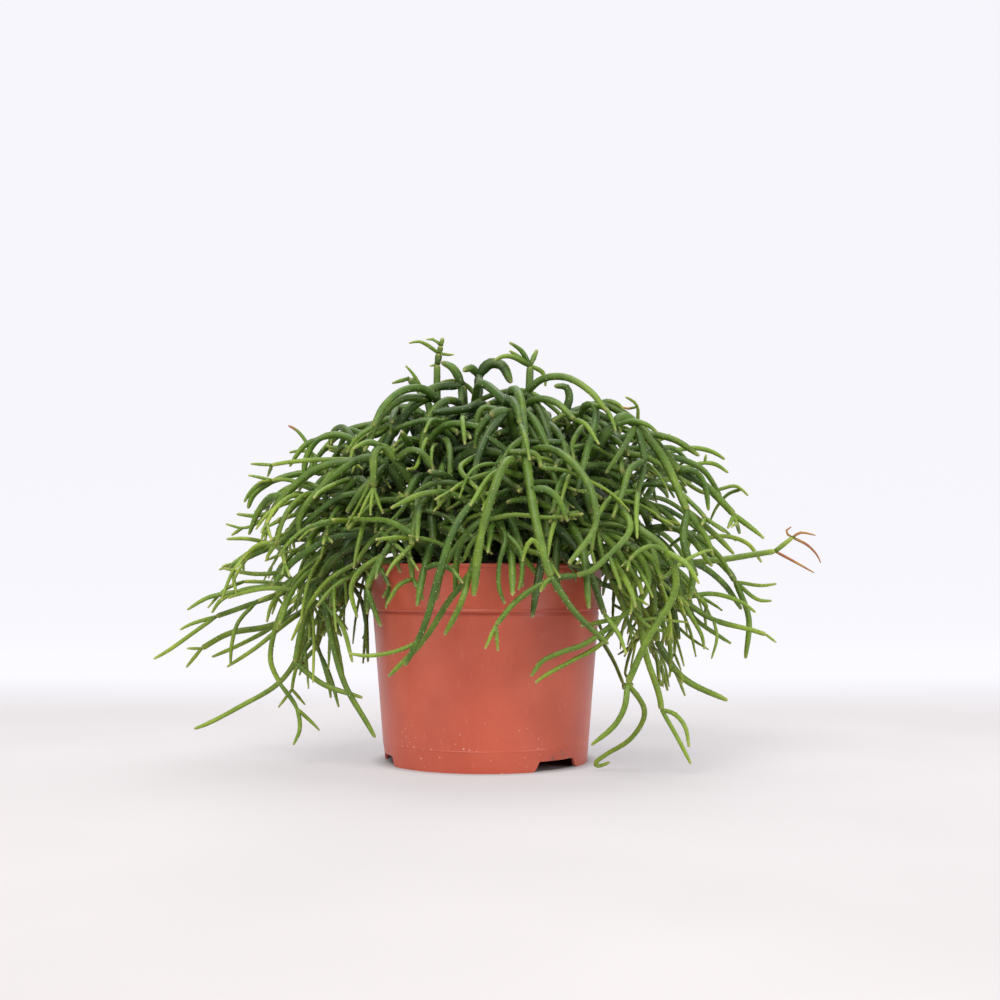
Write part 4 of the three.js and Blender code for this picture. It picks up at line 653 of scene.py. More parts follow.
# %% [markdown]
# ## Settling
#
# Stems in a pot push each other aside until each has its own place. Every stretch of stem is treated as
# a capsule. In each step, all pairs that are too close push each other apart, the pot, the mix and the
# table push back, and the shifts are smoothed along the stems so that they bend and don't kink.

# %% Capsules that push each other apart
SETTLE_STEPS = 160
FREE_STEPS = 60
REBUILD_EVERY = 8
SMOOTHING = 0.35
PUSH = 0.55
PAIR_MARGIN = 5  # mm that a pair may close up before the pairs are looked for again


def closest(p1, q1, p2, q2):
    """Shares along both segments at their closest points, the vector between, and its length."""
    d1, d2, r = q1 - p1, q2 - p2, p1 - p2
    a, e, f = (np.einsum("ij,ij->i", u, v) for u, v in ((d1, d1), (d2, d2), (d2, r)))
    c, b = (np.einsum("ij,ij->i", u, v) for u, v in ((d1, r), (d1, d2)))
    span = a * e - b * b
    s = np.where(span > 1e-9, np.clip((b * f - c * e) / np.maximum(span, 1e-12), 0, 1), 0.5)
    t = np.clip((b * s + f) / e, 0, 1)
    s = np.clip((b * t - c) / a, 0, 1)
    gap = r + d1 * s[:, None] - d2 * t[:, None]
    return s, t, gap, np.linalg.norm(gap, axis=1)


def find_pairs(P, rest, E):
    middle = 0.5 * (P[E["a"]] + P[E["b"]])
    size = 0.5 * np.linalg.norm(P[E["a"]] - P[E["b"]], axis=1) + E["radius"]
    still = int(E["still"].sum())
    rows = []
    for k in range(len(size) - 1):
        first = max(k + 1, still if k < still else 0)
        reach = size[k] + size[first:] + STEM_GAP + PAIR_MARGIN
        far = np.sum((middle[first:] - middle[k]) ** 2, axis=1) > reach**2
        rows.append(first + np.nonzero(~far)[0])
    i = np.repeat(np.arange(len(rows)), [len(row) for row in rows])
    j = np.concatenate(rows)
    same = E["strand"][i] == E["strand"][j]
    apart = ~(same & (np.abs(E["step"][i] - E["step"][j]) < 3))
    i, j, same = i[apart], j[apart], same[apart]
    need = E["radius"][i] + E["radius"][j] + STEM_GAP
    siblings = (E["parent"][i] == E["parent"][j]) & (E["parent"][i] >= 0)
    kin = same | (E["parent"][i] == E["strand"][j]) | (E["parent"][j] == E["strand"][i]) | siblings
    at_rest = closest(rest[E["a"][i]], rest[E["b"][i]], rest[E["a"][j]], rest[E["b"][j]])[3]
    need = np.where(kin, np.minimum(need, 0.95 * at_rest), need)
    keep = ~(kin & (need < 0.5))
    return i[keep], j[keep], need[keep]


def solid_push(p, radius):
    """How far each point of a stem has to move to be clear of the pot, the mix and the table."""
    x, y, z = p.T
    out = np.zeros_like(p)
    reach = np.hypot(x, y)
    margin = radius + STEM_GAP
    outer = np.where(z > BAND_BOTTOM - 3, LIP_RADIUS, wall_radius(np.maximum(0, z))) + margin
    top = POT_HEIGHT + margin
    inner = BAND_RADIUS - WALL - 1 - margin
    in_wall = (z < top) & (reach < outer) & (reach > inner)
    up, aside = top - z, outer - reach
    lift = in_wall & (up < aside) & (z > BAND_BOTTOM)
    out[lift, 2] = up[lift]
    shove = in_wall & ~lift
    out[shove, 0] = (x / np.maximum(reach, 1e-9) * aside)[shove]
    out[shove, 1] = (y / np.maximum(reach, 1e-9) * aside)[shove]
    inside = ~in_wall & (reach <= inner)
    out[inside, 2] = np.maximum(0, soil_top(x, y) + margin - z)[inside]
    out[:, 2] += np.maximum(0, radius + TABLE_GAP - z)
    out[:, 1] -= np.sign(y) * np.maximum(0, np.abs(y) + radius - HALF_DEPTH)
    return out


def settle(still_strands=0, settle_steps=SETTLE_STEPS, free_steps=FREE_STEPS, overlap=STEM_GAP):
    """Moves the particles clear of each other. The first `still_strands` strands keep their places.

    Returns the worst shortage of clearance, and the later strand of each pair that is short by more
    than `overlap`.
    """
    P = np.array(plant.position)
    rest = P.copy()
    pinned = np.array(plant.pinned)
    rows = []
    for s, strand in enumerate(plant.strands):
        ids = strand["ids"]
        for i in range(1, len(ids)):
            radius = max(plant.radius[ids[i - 1]], plant.radius[ids[i]])
            rows.append((ids[i - 1], ids[i], s, strand["parent"], i, radius, s < still_strands))
        if s < still_strands:
            pinned[ids] = True
    keys = ("a", "b", "strand", "parent", "step", "radius", "still")
    E = {key: np.array(column) for key, column in zip(keys, zip(*rows))}
    a, b = E["a"], E["b"]
    count = np.zeros(len(P))
    np.add.at(count, a, 1)
    np.add.at(count, b, 1)
    loose = ~(pinned[a] & pinned[b])
    for step in range(settle_steps + free_steps):
        if step % REBUILD_EVERY == 0:
            i, j, need = find_pairs(P, rest, E)
        push = np.zeros_like(P)
        s, t, gap, distance = closest(P[a[i]], P[b[i]], P[a[j]], P[b[j]])
        hit = (distance < need) & (distance >= 1e-6)
        shove = gap[hit] * (PUSH * (need[hit] - distance[hit]) / distance[hit])[:, None]
        s, t = s[hit, None], t[hit, None]
        u, v = i[hit], j[hit]
        np.add.at(push, a[u], (1 - s) * shove)
        np.add.at(push, b[u], s * shove)
        np.add.at(push, a[v], -(1 - t) * shove)
        np.add.at(push, b[v], -t * shove)
        for share in (0.25, 0.5, 0.75, 1):
            p = P[a[loose]] * (1 - share) + P[b[loose]] * share
            back = 0.5 * solid_push(p, E["radius"][loose])
            np.add.at(push, a[loose], (1 - share) * back)
            np.add.at(push, b[loose], share * back)
        P[~pinned] += push[~pinned]
        if step < settle_steps:
            shift = P - rest
            total = np.zeros_like(P)
            np.add.at(total, a, shift[b])
            np.add.at(total, b, shift[a])
            smooth = rest + (1 - SMOOTHING) * shift + SMOOTHING * total / np.maximum(count, 1)[:, None]
            P[~pinned] = smooth[~pinned]
    plant.position = list(P)
    short = need - closest(P[a[i]], P[b[i]], P[a[j]], P[b[j]])[3]
    return float(np.max(short)), set(E["strand"][j[short > overlap]].tolist())


print("settled, closest pair is short of its clearance by", round(settle()[0], 3), "mm")

# %% [markdown]
# ## More shoots between the modelled ones
#
# The frame carries the main stems. A grown plant fills the space between them with further segments, so
# seeded rules grow six more kinds: thick arches in the heart and round it, a collar over the rim,
# slimmer shoots that spread every way from the outer stems, threads that hang beside the pot, and a
# tangle of them low on the right. Some of their ends carry a whorl of stubby young shoots. All bend
# clear of each other and of the stems that are already in place, which keep still. Nothing new hangs in
# front of the pot or leaves the plant's outline, and a shoot that finds no room is left out with all that
# grows on it.

# %% Outline of the plant
OUTLINE = {  # distance from the pot's axis: highest and lowest point there, in mm
    0: (205, 100), 42: (196, 96), 60: (180, 84), 70: (175, 18), 85: (168, 20), 105: (160, 34),
    120: (152, 58), 140: (134, 70), 150: (104, 72), 160: (84, 70), 172: (72, 70)}
DEPTH_STRETCH = 1.55  # the plant is this much wider than it is deep
FRONT_WINDOW = 64  # half the width of the space in front of the pot that stays free
FRONT_LOWEST = 84  # and its height


def fits(points):
    """True if a filling shoot keeps inside the plant's outline and off the front of the pot."""
    x, y, z = np.array(points).T
    away = np.hypot(x, DEPTH_STRETCH * y)
    high, low = (np.interp(away, list(OUTLINE), limits) for limits in zip(*OUTLINE.values()))
    hides_pot = (np.abs(x) < FRONT_WINDOW) & (y < 0) & (z < FRONT_LOWEST)
    return not hides_pot.any() and (away < max(OUTLINE)).all() and (z < high).all() and (z > low).all()


print("the outline allows", OUTLINE[0][0], "mm of height in the middle")

# %% Filling shoots
FILLS = [
    # thick arches in the heart
    dict(count=180, seed=4710, parent=1.5, heights=(100, 182), ring=(0, 46), length=(34, 66),
         girth=(1.9, 2.4), taper=0.76, droop=(0.25, 0.55), spread=3.1, follow=0.2, rise=(0.0, 0.8)),
    # arches round it
    dict(count=230, seed=4711, parent=1.4, heights=(98, 186), ring=(30, 104), length=(32, 64),
         girth=(1.6, 2.3), taper=0.7, droop=(0.25, 0.6), spread=2.2, follow=0.35, rise=(0.0, 0.8)),
    # a collar over the rim
    dict(count=70, seed=4715, parent=1.2, heights=(92, 126), ring=(44, 72), length=(20, 40),
         girth=(1.3, 1.9), taper=0.75, droop=(0.0, 0.4), spread=3.1, follow=0.3, rise=(-0.3, 0.3)),
    # a skirt of shoots that point every way
    dict(count=245, seed=4712, parent=1.0, heights=(84, 176), ring=(62, 170), length=(20, 46),
         girth=(1.1, 2.0), taper=0.64, droop=(0.05, 0.6), spread=2.5, follow=0.25, rise=(-0.3, 0.8)),
    # threads that hang beside the pot
    dict(count=115, seed=4714, parent=0.9, heights=(26, 108), ring=(58, 96), length=(24, 52),
         girth=(0.8, 1.5), taper=0.7, droop=(0.3, 0.8), spread=2.6, follow=0.8, rise=(-0.4, 0.2)),
    # a tangle low on the right
    dict(count=34, seed=4716, parent=0.8, heights=(24, 84), ring=(54, 100), length=(26, 56),
         girth=(0.8, 1.3), taper=0.7, droop=(-0.1, 0.5), spread=3.1, follow=0.3, rise=(-0.6, 0.2),
         side=(36, 96)),
]
GIRTH_LIMIT = 1.1  # a shoot's radius at its base, as a share of its parent's there
WHORL_SEED = 4713
WHORL_CHANCE = 0.26
WHORL_LEAST = 1.1  # only on stems that are at least this thick
OVERLAP = 1.1  # mm; a new shoot that stays further inside an older one's clearance is left out
SHARPEST = math.cos(math.radians(62))  # so is one that was bent more than this at one particle


def fill(count, seed, parent, heights, ring, length, girth, taper, droop, spread, follow, rise,
         side=(-180, 180)):
    """Grows shoots from random places of thick enough stems, in a ring round the pot's axis."""
    draw = seeded(seed)
    strands = len(plant.strands)
    while count > 0:
        at = int(draw(0, strands - 0.001))
        strand = plant.strands[at]
        step = 1 + int(draw(0.1, 0.999) * (len(strand["ids"]) - 1))
        x, y, z = plant.position[strand["ids"][step]]
        in_ring = heights[0] < z < heights[1] and ring[0] <= math.hypot(x, y) < ring[1]
        if strand["base"] < parent or not in_ring or not side[0] < x < side[1]:
            continue
        marks = len(plant.position), len(plant.strands)
        base = min(GIRTH_LIMIT * plant.radius[strand["ids"][step]], draw(*girth))
        made = grow_shoot(draw, at, step, draw(*length), base, taper * base, draw(*droop),
                          spread, follow, rise)
        if fits([plant.position[i] for i in plant.strands[made]["ids"][1:]]):
            count -= 1
            continue
        for values in (plant.position, plant.radius, plant.pinned):
            del values[marks[0] :]
        del plant.strands[marks[1] :]


def whorls(seed):
    """Two or three stubby shoots at some of the free ends of the filling shoots."""
    draw = seeded(seed)
    for at in range(framed, len(plant.strands)):
        strand = plant.strands[at]
        if strand["base"] < WHORL_LEAST or draw(0, 1) > WHORL_CHANCE:
            continue
        for _ in range(2 + int(draw(0, 1.5))):
            base = min(strand["tip"], draw(0.9, 1.4))
            end = len(strand["ids"]) - 1
            grow_shoot(draw, at, end, draw(5, 13), base, 0.8 * base, draw(0.0, 0.2), 3.1)


framed = len(plant.strands)
for kind in FILLS:
    fill(**kind)
whorls(WHORL_SEED)


def kinked(strand):
    steps = np.diff([plant.position[i] for i in strand["ids"]], axis=0)
    steps /= np.linalg.norm(steps, axis=1)[:, None]
    return bool((np.sum(steps[1:] * steps[:-1], axis=1) < SHARPEST).any())


def is_left_out(s):
    """True if the shoot, or one of those that it grows on, found no room or kinked."""
    while s >= 0 and s not in crowded:
        s = plant.strands[s]["parent"]
    return s >= 0


worst, crowded = settle(framed, 90, 40, OVERLAP)
crowded |= {s for s in range(framed, len(plant.strands)) if kinked(plant.strands[s])}
stay = sum(not is_left_out(s) for s in range(len(plant.strands)))
print("grown to", len(plant.strands), "stems;", len(crowded), "found no room or kinked")
print("the worst of them was short of its clearance by", round(worst, 2), "mm")
print(stay, "stems stay, of which", stay - framed, "are new")

# %% [markdown]
# ## Colours and the one node helper
#
# Colours are written as the sRGB hex values that a colour chart gives, and turned to the linear values
# that Blender mixes in. One helper adds a shader node with its settings and links.


# %% Colour and node helpers
def linear(hex_code):
    channels = [int(hex_code[i : i + 2], 16) / 255 for i in (0, 2, 4)]
    return [c / 12.92 if c <= 0.04045 else ((c + 0.055) / 1.055) ** 2.4 for c in channels] + [1.0]


def node(tree, kind, inputs=None, stops=None, **settings):
    """Adds a shader node. `inputs` maps a socket to a value, or to the socket that feeds it."""
    made = tree.nodes.new("ShaderNode" + kind)
    for key, value in settings.items():
        setattr(made, key, value)
    for key, value in (inputs or {}).items():
        if isinstance(value, bpy.types.NodeSocket):
            tree.links.new(value, made.inputs[key])
        else:
            made.inputs[key].default_value = value
    for i, (position, colour) in enumerate(stops or []):
        element = made.color_ramp.elements[i] if i < 2 else made.color_ramp.elements.new(position)
        element.position, element.color = position, colour
    return made


def material(name, slot):
    made = bpy.data.materials.new(name)
    made.use_nodes = True
    made.node_tree.nodes.clear()
    made["slot"] = slot
    return made, made.node_tree


def finish_shader(tree, shader):
    node(tree, "OutputMaterial", {"Surface": shader.outputs[0]})


print("leaf green in linear light:", [round(c, 3) for c in linear("5E9434")])

# %% [markdown]
# ## The skin of the stems: a waxy plant epidermis
#
# A Rhipsalis stem is living green tissue under a thin waxy cuticle. The tissue is too dense to shine
# through, the wax gives a soft satin highlight, and the IOR of plant tissue is about 1.42. Young
# segments are a fresh yellow green and old ones a deep olive. The very tips are pale, and a few new
# shoots are bronze. Those differences run along the plant and not across a pattern, so each vertex
# carries them as an attribute called growth: red is age, darkened further towards the heart of the
# plant as painted shade, green the tint of its segment, blue how close the tip is. A second attribute,
# bronze, marks the new shoots.

# %% Material: waxy epidermis
PORE = 0.9 * MM  # the mottling of the skin, drawn a little coarser than the real 0.5 mm so that it shows
PATCH = 9 * MM  # slow changes of green along a stem


def waxy_epidermis():
    mat, tree = material("waxy_epidermis", "stem_skin")
    growth = node(tree, "Attribute", attribute_name="growth")
    bronze = node(tree, "Attribute", attribute_name="bronze")
    parts = node(tree, "SeparateColor", {"Color": growth.outputs["Color"]})
    place = node(tree, "TexCoord").outputs["Object"]
    pores = node(tree, "TexNoise", {"Vector": place, "Scale": 1 / PORE, "Detail": 2.0})
    patches = node(tree, "TexNoise", {"Vector": place, "Scale": 1 / PATCH, "Detail": 1.0})
    # red of the growth attribute: age, with painted shade that is deepest in the heart of the plant
    aged_and_shaded = node(tree, "Math", {0: patches.outputs["Fac"], 1: 0.45, 2: parts.outputs["Red"]},
                operation="MULTIPLY_ADD")
    greens = node(tree, "ValToRGB", {"Fac": aged_and_shaded.outputs[0]}, stops=[
        (0.15, linear("A2B440")), (0.45, linear("7C9630")),
        (0.75, linear("526E22")), (1.0, linear("314A1A"))])
    tints = node(tree, "ValToRGB", {"Fac": parts.outputs["Green"]}, stops=[
        (0.0, linear("E6E2A0")), (0.5, linear("FFFFFF")), (1.0, linear("C4DDB8"))])
    tinted = node(tree, "Mix", {0: 0.6, 6: greens.outputs[0], 7: tints.outputs[0]},
                  data_type="RGBA", blend_type="MULTIPLY")
    pore_depth = node(tree, "ValToRGB", {"Fac": pores.outputs["Fac"]}, stops=[
        (0.36, linear("BCC4A4")), (0.60, linear("FFFFFF"))])
    mottled = node(tree, "Mix", {0: 0.55, 6: tinted.outputs[2], 7: pore_depth.outputs[0]},
                   data_type="RGBA", blend_type="MULTIPLY")
    pale = node(tree, "Mix", {0: parts.outputs["Blue"], 6: mottled.outputs[2], 7: linear("B4A968")},
                data_type="RGBA")
    new_growth = node(tree, "ValToRGB", {"Fac": patches.outputs["Fac"]}, stops=[
        (0.40, linear("A8843F")), (0.62, linear("96583C"))])
    colour = node(tree, "Mix", {0: bronze.outputs["Fac"], 6: pale.outputs[2], 7: new_growth.outputs[0]},
                  data_type="RGBA")
    rough = node(tree, "MapRange", {"Value": pores.outputs["Fac"], "To Min": 0.40, "To Max": 0.58})
    relief = node(tree, "Bump", {
        "Height": pores.outputs["Fac"], "Strength": 0.4, "Distance": 0.12 * MM})
    shader = node(tree, "BsdfPrincipled", {
        "Base Color": colour.outputs[2], "Roughness": rough.outputs[0],
        "Normal": relief.outputs[0], "IOR": 1.42})
    finish_shader(tree, shader)
    return mat


EPIDERMIS = waxy_epidermis()
print("made", EPIDERMIS.name)

# %% [markdown]
# ## The areoles: wool and bristles
#
# What makes this a cactus is the areole: a tiny cushion of cream wool on the ribs every few
# millimetres, with a couple of fine white bristles. The wool is a mat of dead hairs, matt and rough,
# and the bristles are like thin horn.


# %% Material: areole wool
HAIR_TUFT = 0.3 * MM  # the hairs themselves, 0.02 mm thick, are too fine to draw


def areole_wool():
    mat, tree = material("areole_wool", "stem_skin")
    place = node(tree, "TexCoord").outputs["Object"]
    fluff = node(tree, "TexNoise", {"Vector": place, "Scale": 1 / HAIR_TUFT, "Detail": 2.0})
    colour = node(tree, "ValToRGB", {"Fac": fluff.outputs["Fac"]}, stops=[
        (0.3, linear("A89C74")), (0.7, linear("DDD6B4"))])
    relief = node(tree, "Bump", {"Height": fluff.outputs["Fac"], "Strength": 0.6, "Distance": 0.1 * MM})
    shader = node(tree, "BsdfPrincipled", {
        "Base Color": colour.outputs[0], "Roughness": 0.85, "Normal": relief.outputs[0], "IOR": 1.5})
    finish_shader(tree, shader)
    return mat


WOOL = areole_wool()
print("made", WOOL.name)

# %% [markdown]
# ## Skinning a stem
#
# Each strand becomes one closed tube round a smooth curve through its particles. The real stem is not a
# pipe: it has four to five faint ribs, a waist where a segment starts or where others leave it, and a
# tip that narrows where nothing grows on from it.

# %% Smooth curve and moving frame
RING_STEP = 2.2  # mm between rings along a stem with joints
PLAIN_RING_STEP = 3.0
LEAST_SIDES = 8
MORE_SIDES_ABOVE = (1.2, 1.7)  # mm of radius, each of which adds two sides
TIP_ANGLES = np.radians([25, 50, 70, 84])


def smooth_path(points, stations):
    """Points of a smooth curve through `points`, at the given lengths along it."""
    knots = np.append(0, np.cumsum(np.linalg.norm(np.diff(points, axis=0), axis=1)))
    slope = np.diff(points, axis=0) / np.diff(knots)[:, None]
    tangent = np.vstack([slope[0], 0.5 * (slope[1:] + slope[:-1]), slope[-1]])
    k = np.clip(np.searchsorted(knots, stations, side="right") - 1, 0, len(slope) - 1)
    h = (knots[k + 1] - knots[k])[:, None]
    u = ((stations - knots[k]) / h[:, 0])[:, None]
    return ((1 + 2 * u) * (1 - u) ** 2 * points[k] + u * (1 - u) ** 2 * h * tangent[k]
            + u**2 * (3 - 2 * u) * points[k + 1] + u**2 * (u - 1) * h * tangent[k + 1])


def moving_frame(path):
    """Direction, side and binormal of each ring, carried along the path without twist."""
    tangent = np.gradient(path, axis=0)
    tangent /= np.linalg.norm(tangent, axis=1)[:, None]
    side = np.zeros_like(path)
    last = np.array([0.37, 0.81, 0.45])
    for i, t in enumerate(tangent):
        last = last - t * last.dot(t)
        last = last / math.sqrt(last.dot(last))
        side[i] = last
    return tangent, side, np.cross(tangent, side)


print("rings every", RING_STEP, "mm")

# %% Girth of a stem
WAIST = 0.22
WAIST_RUN = 1.7  # mm to either side of a joint
RIB_DEPTH = 0.075
FIVE_RIBS_ABOVE = 1.9
TIP_RUN = 10  # mm over which a free end narrows
TIP_NARROWING = 0.42


def girth(strand, stations, length, joints, free):
    """Radius at each station: taper, a waist at each joint, and a rounded tip."""
    share = stations / length
    radius = strand["base"] + (strand["tip"] - strand["base"]) * share
    radius = radius * (1 + 0.05 * np.sin(np.pi * share) + 0.02 * np.sin(stations / 3.1))
    for joint in joints:
        radius = radius * (1 - WAIST * np.exp(-(((stations - joint) / WAIST_RUN) ** 2)))
    if free:
        run = min(TIP_RUN, 0.6 * length)
        near_tip = np.clip((stations - (length - run)) / run, 0, 1)
        radius = radius * (1 - TIP_NARROWING * near_tip**2)
    cap = np.clip((stations - (length - strand["tip"])) / strand["tip"], 0, 1)
    return radius * np.sqrt(np.maximum(1 - cap**2, 0.006))


def stem_mesh(strand, points, joints, free, draw):
    """One stem's vertices, quads and cap triangles, what its areoles stand on, and its sides."""
    length = float(np.sum(np.linalg.norm(np.diff(points, axis=0), axis=1)))
    ring_step = RING_STEP if joints else PLAIN_RING_STEP
    straight = np.linspace(0, length - strand["tip"], max(4, round(length / ring_step)))
    stations = np.append(straight, length - strand["tip"] * (1 - np.sin(TIP_ANGLES)))
    ribs = 5 if strand["base"] > FIVE_RIBS_ABOVE else 4
    sides = LEAST_SIDES + 2 * sum(strand["base"] > limit for limit in MORE_SIDES_ABOVE)
    path = smooth_path(points, stations)
    tangent, side, other = moving_frame(path)
    radius = girth(strand, stations, length, joints, free)
    turn = draw(0, 6.28) + draw(-0.004, 0.004) * stations[:, None]
    angle = 2 * np.pi * np.arange(sides) / sides
    rib = 1 + RIB_DEPTH * min(max(strand["base"] - 0.8, 0), 1) * np.cos(ribs * (angle[None, :] - turn))
    reach = radius[:, None] * rib
    rings = (path[:, None] + side[:, None] * (reach * np.cos(angle))[..., None]
             + other[:, None] * (reach * np.sin(angle))[..., None])
    vertices = np.vstack([rings.reshape(-1, 3), path[:1], path[-1:] + tangent[-1:] * 0.03])
    k = np.arange(sides)
    n = (k + 1) % sides
    first = sides * np.arange(len(path) - 1)[:, None]
    quads = np.stack([first + k, first + n, first + n + sides, first + k + sides], axis=-1).reshape(-1, 4)
    end = sides * (len(path) - 1)
    base = sides * len(path)
    caps = np.vstack([np.stack([np.full(sides, base), n, k], axis=1),
                      np.stack([np.full(sides, base + 1), end + k, end + n], axis=1)])
    skin = dict(path=path, side=side, other=other, tangent=tangent, radius=radius, stations=stations,
                turn=turn[:, 0], ribs=ribs, length=length, foot=strand["base"])
    return vertices, quads, caps, skin, sides


print("waist", WAIST, "of the radius at each joint, ribs", RIB_DEPTH)

# %% Areoles on the ribs
AREOLE_STEP = 5.8  # mm from one areole to the next on the same rib
AREOLE_SCATTER = 1.5
TUFT_SIDES = 4
TUFT_RADIUS = 0.27
TUFT_HEIGHT = 0.2
SUNK = 0.08  # mm that a tuft's foot lies inside the skin
BRISTLE_SIDES = 3
BRISTLE_RADIUS = 0.055
COLLAR_TUFTS = 3
WOOLLY_FEET = 0.55  # share of the joints that carry them
NO_WOOL = np.zeros((0, 3)), np.zeros((0, 3), int)


def areoles(skin, free, collar, draw):
    """Woolly tufts with a bristle each, staggered from rib to rib, more at the foot and a free tip."""
    seats = []
    for rib in range(skin["ribs"]):
        start = 2.5 + AREOLE_STEP * ((rib * 2) % skin["ribs"]) / skin["ribs"]
        seats += [(at + draw(-AREOLE_SCATTER, AREOLE_SCATTER), rib)
                  for at in np.arange(start, skin["length"] - AREOLE_SCATTER, AREOLE_STEP)]
        if free and rib % 2 == 0:
            seats.append((skin["length"] - draw(0.5, 0.9), rib))
        if rib < collar:
            seats.append((skin["foot"] + draw(0.2, 1.3), rib))
    if not seats:
        return NO_WOOL
    at = np.array([s[0] for s in seats])
    rib = np.array([s[1] for s in seats])

    def along(values):
        if values.ndim == 1:
            return np.interp(at, skin["stations"], values)
        return np.stack([np.interp(at, skin["stations"], values[:, c]) for c in range(3)], axis=1)

    angle = along(skin["turn"]) + 2 * np.pi * rib / skin["ribs"]
    out = along(skin["side"]) * np.cos(angle)[:, None] + along(skin["other"]) * np.sin(angle)[:, None]
    out /= np.linalg.norm(out, axis=1)[:, None]
    up = along(skin["tangent"])
    up /= np.linalg.norm(up, axis=1)[:, None]
    across = np.cross(out, up)
    foot = along(skin["path"]) + out * (along(skin["radius"]) * (1 + RIB_DEPTH) - SUNK)[:, None]
    vertices, faces = [], []

    def add_cones(ring, tips, sides):
        start = sum(len(v) for v in vertices)
        vertices.append(np.concatenate([ring, tips[:, None]], axis=1).reshape(-1, 3))
        first = start + (sides + 1) * np.arange(len(tips))[:, None]
        k = np.arange(sides)
        fan = np.arange(1, sides - 1)
        walls = np.stack([first + k, first + (k + 1) % sides, first + sides + 0 * k], axis=-1)
        floor = np.stack([first + 0 * fan, first + fan + 1, first + fan], axis=-1)
        faces.extend([walls.reshape(-1, 3), floor.reshape(-1, 3)])

    def ring_of(radius, sides):
        turn = 2 * np.pi * np.arange(sides)[:, None] / sides
        return foot[:, None] + radius * (across[:, None] * np.cos(turn) + up[:, None] * np.sin(turn))

    size = np.array([draw(0.6, 1.25) for _ in at])[:, None]
    tuft_tips = foot + out * (TUFT_HEIGHT * size + SUNK)
    add_cones(ring_of(TUFT_RADIUS * size[:, None], TUFT_SIDES), tuft_tips, TUFT_SIDES)
    lean = np.array([[draw(-0.7, 0.7), draw(0.1, 0.9), draw(0.6, 1.2)] for _ in at])
    bristle_tips = foot + (across * lean[:, :1] + up * lean[:, 1:2] + out) * lean[:, 2:]
    add_cones(ring_of(BRISTLE_RADIUS, BRISTLE_SIDES), bristle_tips, BRISTLE_SIDES)
    return np.vstack(vertices), np.vstack(faces)


print("an areole every", AREOLE_STEP, "mm on each rib")

# %% [markdown]
# ## One mesh for each cutting
#
# A cutting's stems, wool and bristles are gathered as plain arrays and handed to Blender in one go,
# which is far quicker than making thousands of small objects. The piece replaces its frame solid and
# rides with the pot.


# %% Mesh from arrays
def mesh_object(name, vertices, faces, materials, face_material=None, sharp_degrees=None):
    """An object from an array of vertices in mm and a list of face arrays."""
    mesh = bpy.data.meshes.new(name)
    vertices = np.asarray(vertices) * MM
    corners = np.concatenate([f.ravel() for f in faces]).astype(np.int32)
    totals = np.concatenate([np.full(len(f), f.shape[1]) for f in faces])
    mesh.vertices.add(len(vertices))
    mesh.vertices.foreach_set("co", vertices.ravel())
    mesh.loops.add(len(corners))
    mesh.loops.foreach_set("vertex_index", corners)
    mesh.polygons.add(len(totals))
    mesh.polygons.foreach_set("loop_start", (np.cumsum(totals) - totals).astype(np.int32))
    if face_material is not None:
        mesh.polygons.foreach_set("material_index", np.asarray(face_material, np.int32))
    mesh.polygons.foreach_set("use_smooth", np.ones(len(totals), bool))
    mesh.update(calc_edges=True)
    for made in materials:
        mesh.materials.append(made)
    obj = bpy.data.objects.new(name, mesh)
    bpy.context.scene.collection.objects.link(obj)
    if sharp_degrees is not None:
        mesh.set_sharp_from_angle(angle=math.radians(sharp_degrees))
    return obj


def paint(mesh, name, values):
    kind, field = ("FLOAT_COLOR", "color") if values.ndim == 2 else ("FLOAT", "value")
    attribute = mesh.attributes.new(name, kind, "POINT")
    attribute.data.foreach_set(field, values.astype(np.float32).ravel())


print("mesh helpers ready")

# %% How old each stretch of stem is
BRONZE = {  # shoots that turn bronze, and the share of their length where they do
    "bronze_tipped_arm": {2: 0, 3: 0, 4: 0, 5: 0},
    "right_back_arms": {7: 0.3},
    "left_outer_arch": {4: 0.8}}
# stems are painted darker round this point, as shade in the heart of the plant, besides being older
OLD_SHADED_HEART = np.array([0, 10, 112])  # the oldest growth lies round this point
AGE_AND_SHADE_REACH = 160
THICKEST = 2.2
PALE_TIP = 2.5  # mm


def growth_of(strand, skin, sides, draw, turns):
    """Colour values of each ring. Thin shoots and tips are young, and free ends pale. Stems are darker the
    nearer they lie to the heart of the plant, partly with age and partly as painted shade, and outer ones
    lighter.
    """
    share = skin["stations"] / skin["length"]
    away = np.linalg.norm(skin["path"] - OLD_SHADED_HEART, axis=1) / AGE_AND_SHADE_REACH
    thick = min(strand["base"] / THICKEST, 1)
    # nearer the heart is darker: partly older, partly painted shade where the stems shade each other
    age_and_shade = np.clip(0.58 + 0.5 * thick - 0.6 * away - 0.2 * share + draw(-0.1, 0.1), 0.02, 1)
    tint = draw(0, 1)
    tip = np.clip(1 - (skin["length"] - skin["stations"]) / PALE_TIP, 0, 1) ** 2 * 0.7
    ring = np.stack([age_and_shade, np.full_like(age_and_shade, tint), tip, np.ones_like(age_and_shade)], axis=1)
    bronze = np.zeros(len(age_and_shade)) if turns is None else np.clip((share - turns) / 0.12, 0, 1)
    values = np.vstack([np.repeat(ring, sides, axis=0), ring[:1], ring[-1:]])
    return values, np.concatenate([np.repeat(bronze, sides), bronze[:1], bronze[-1:]])


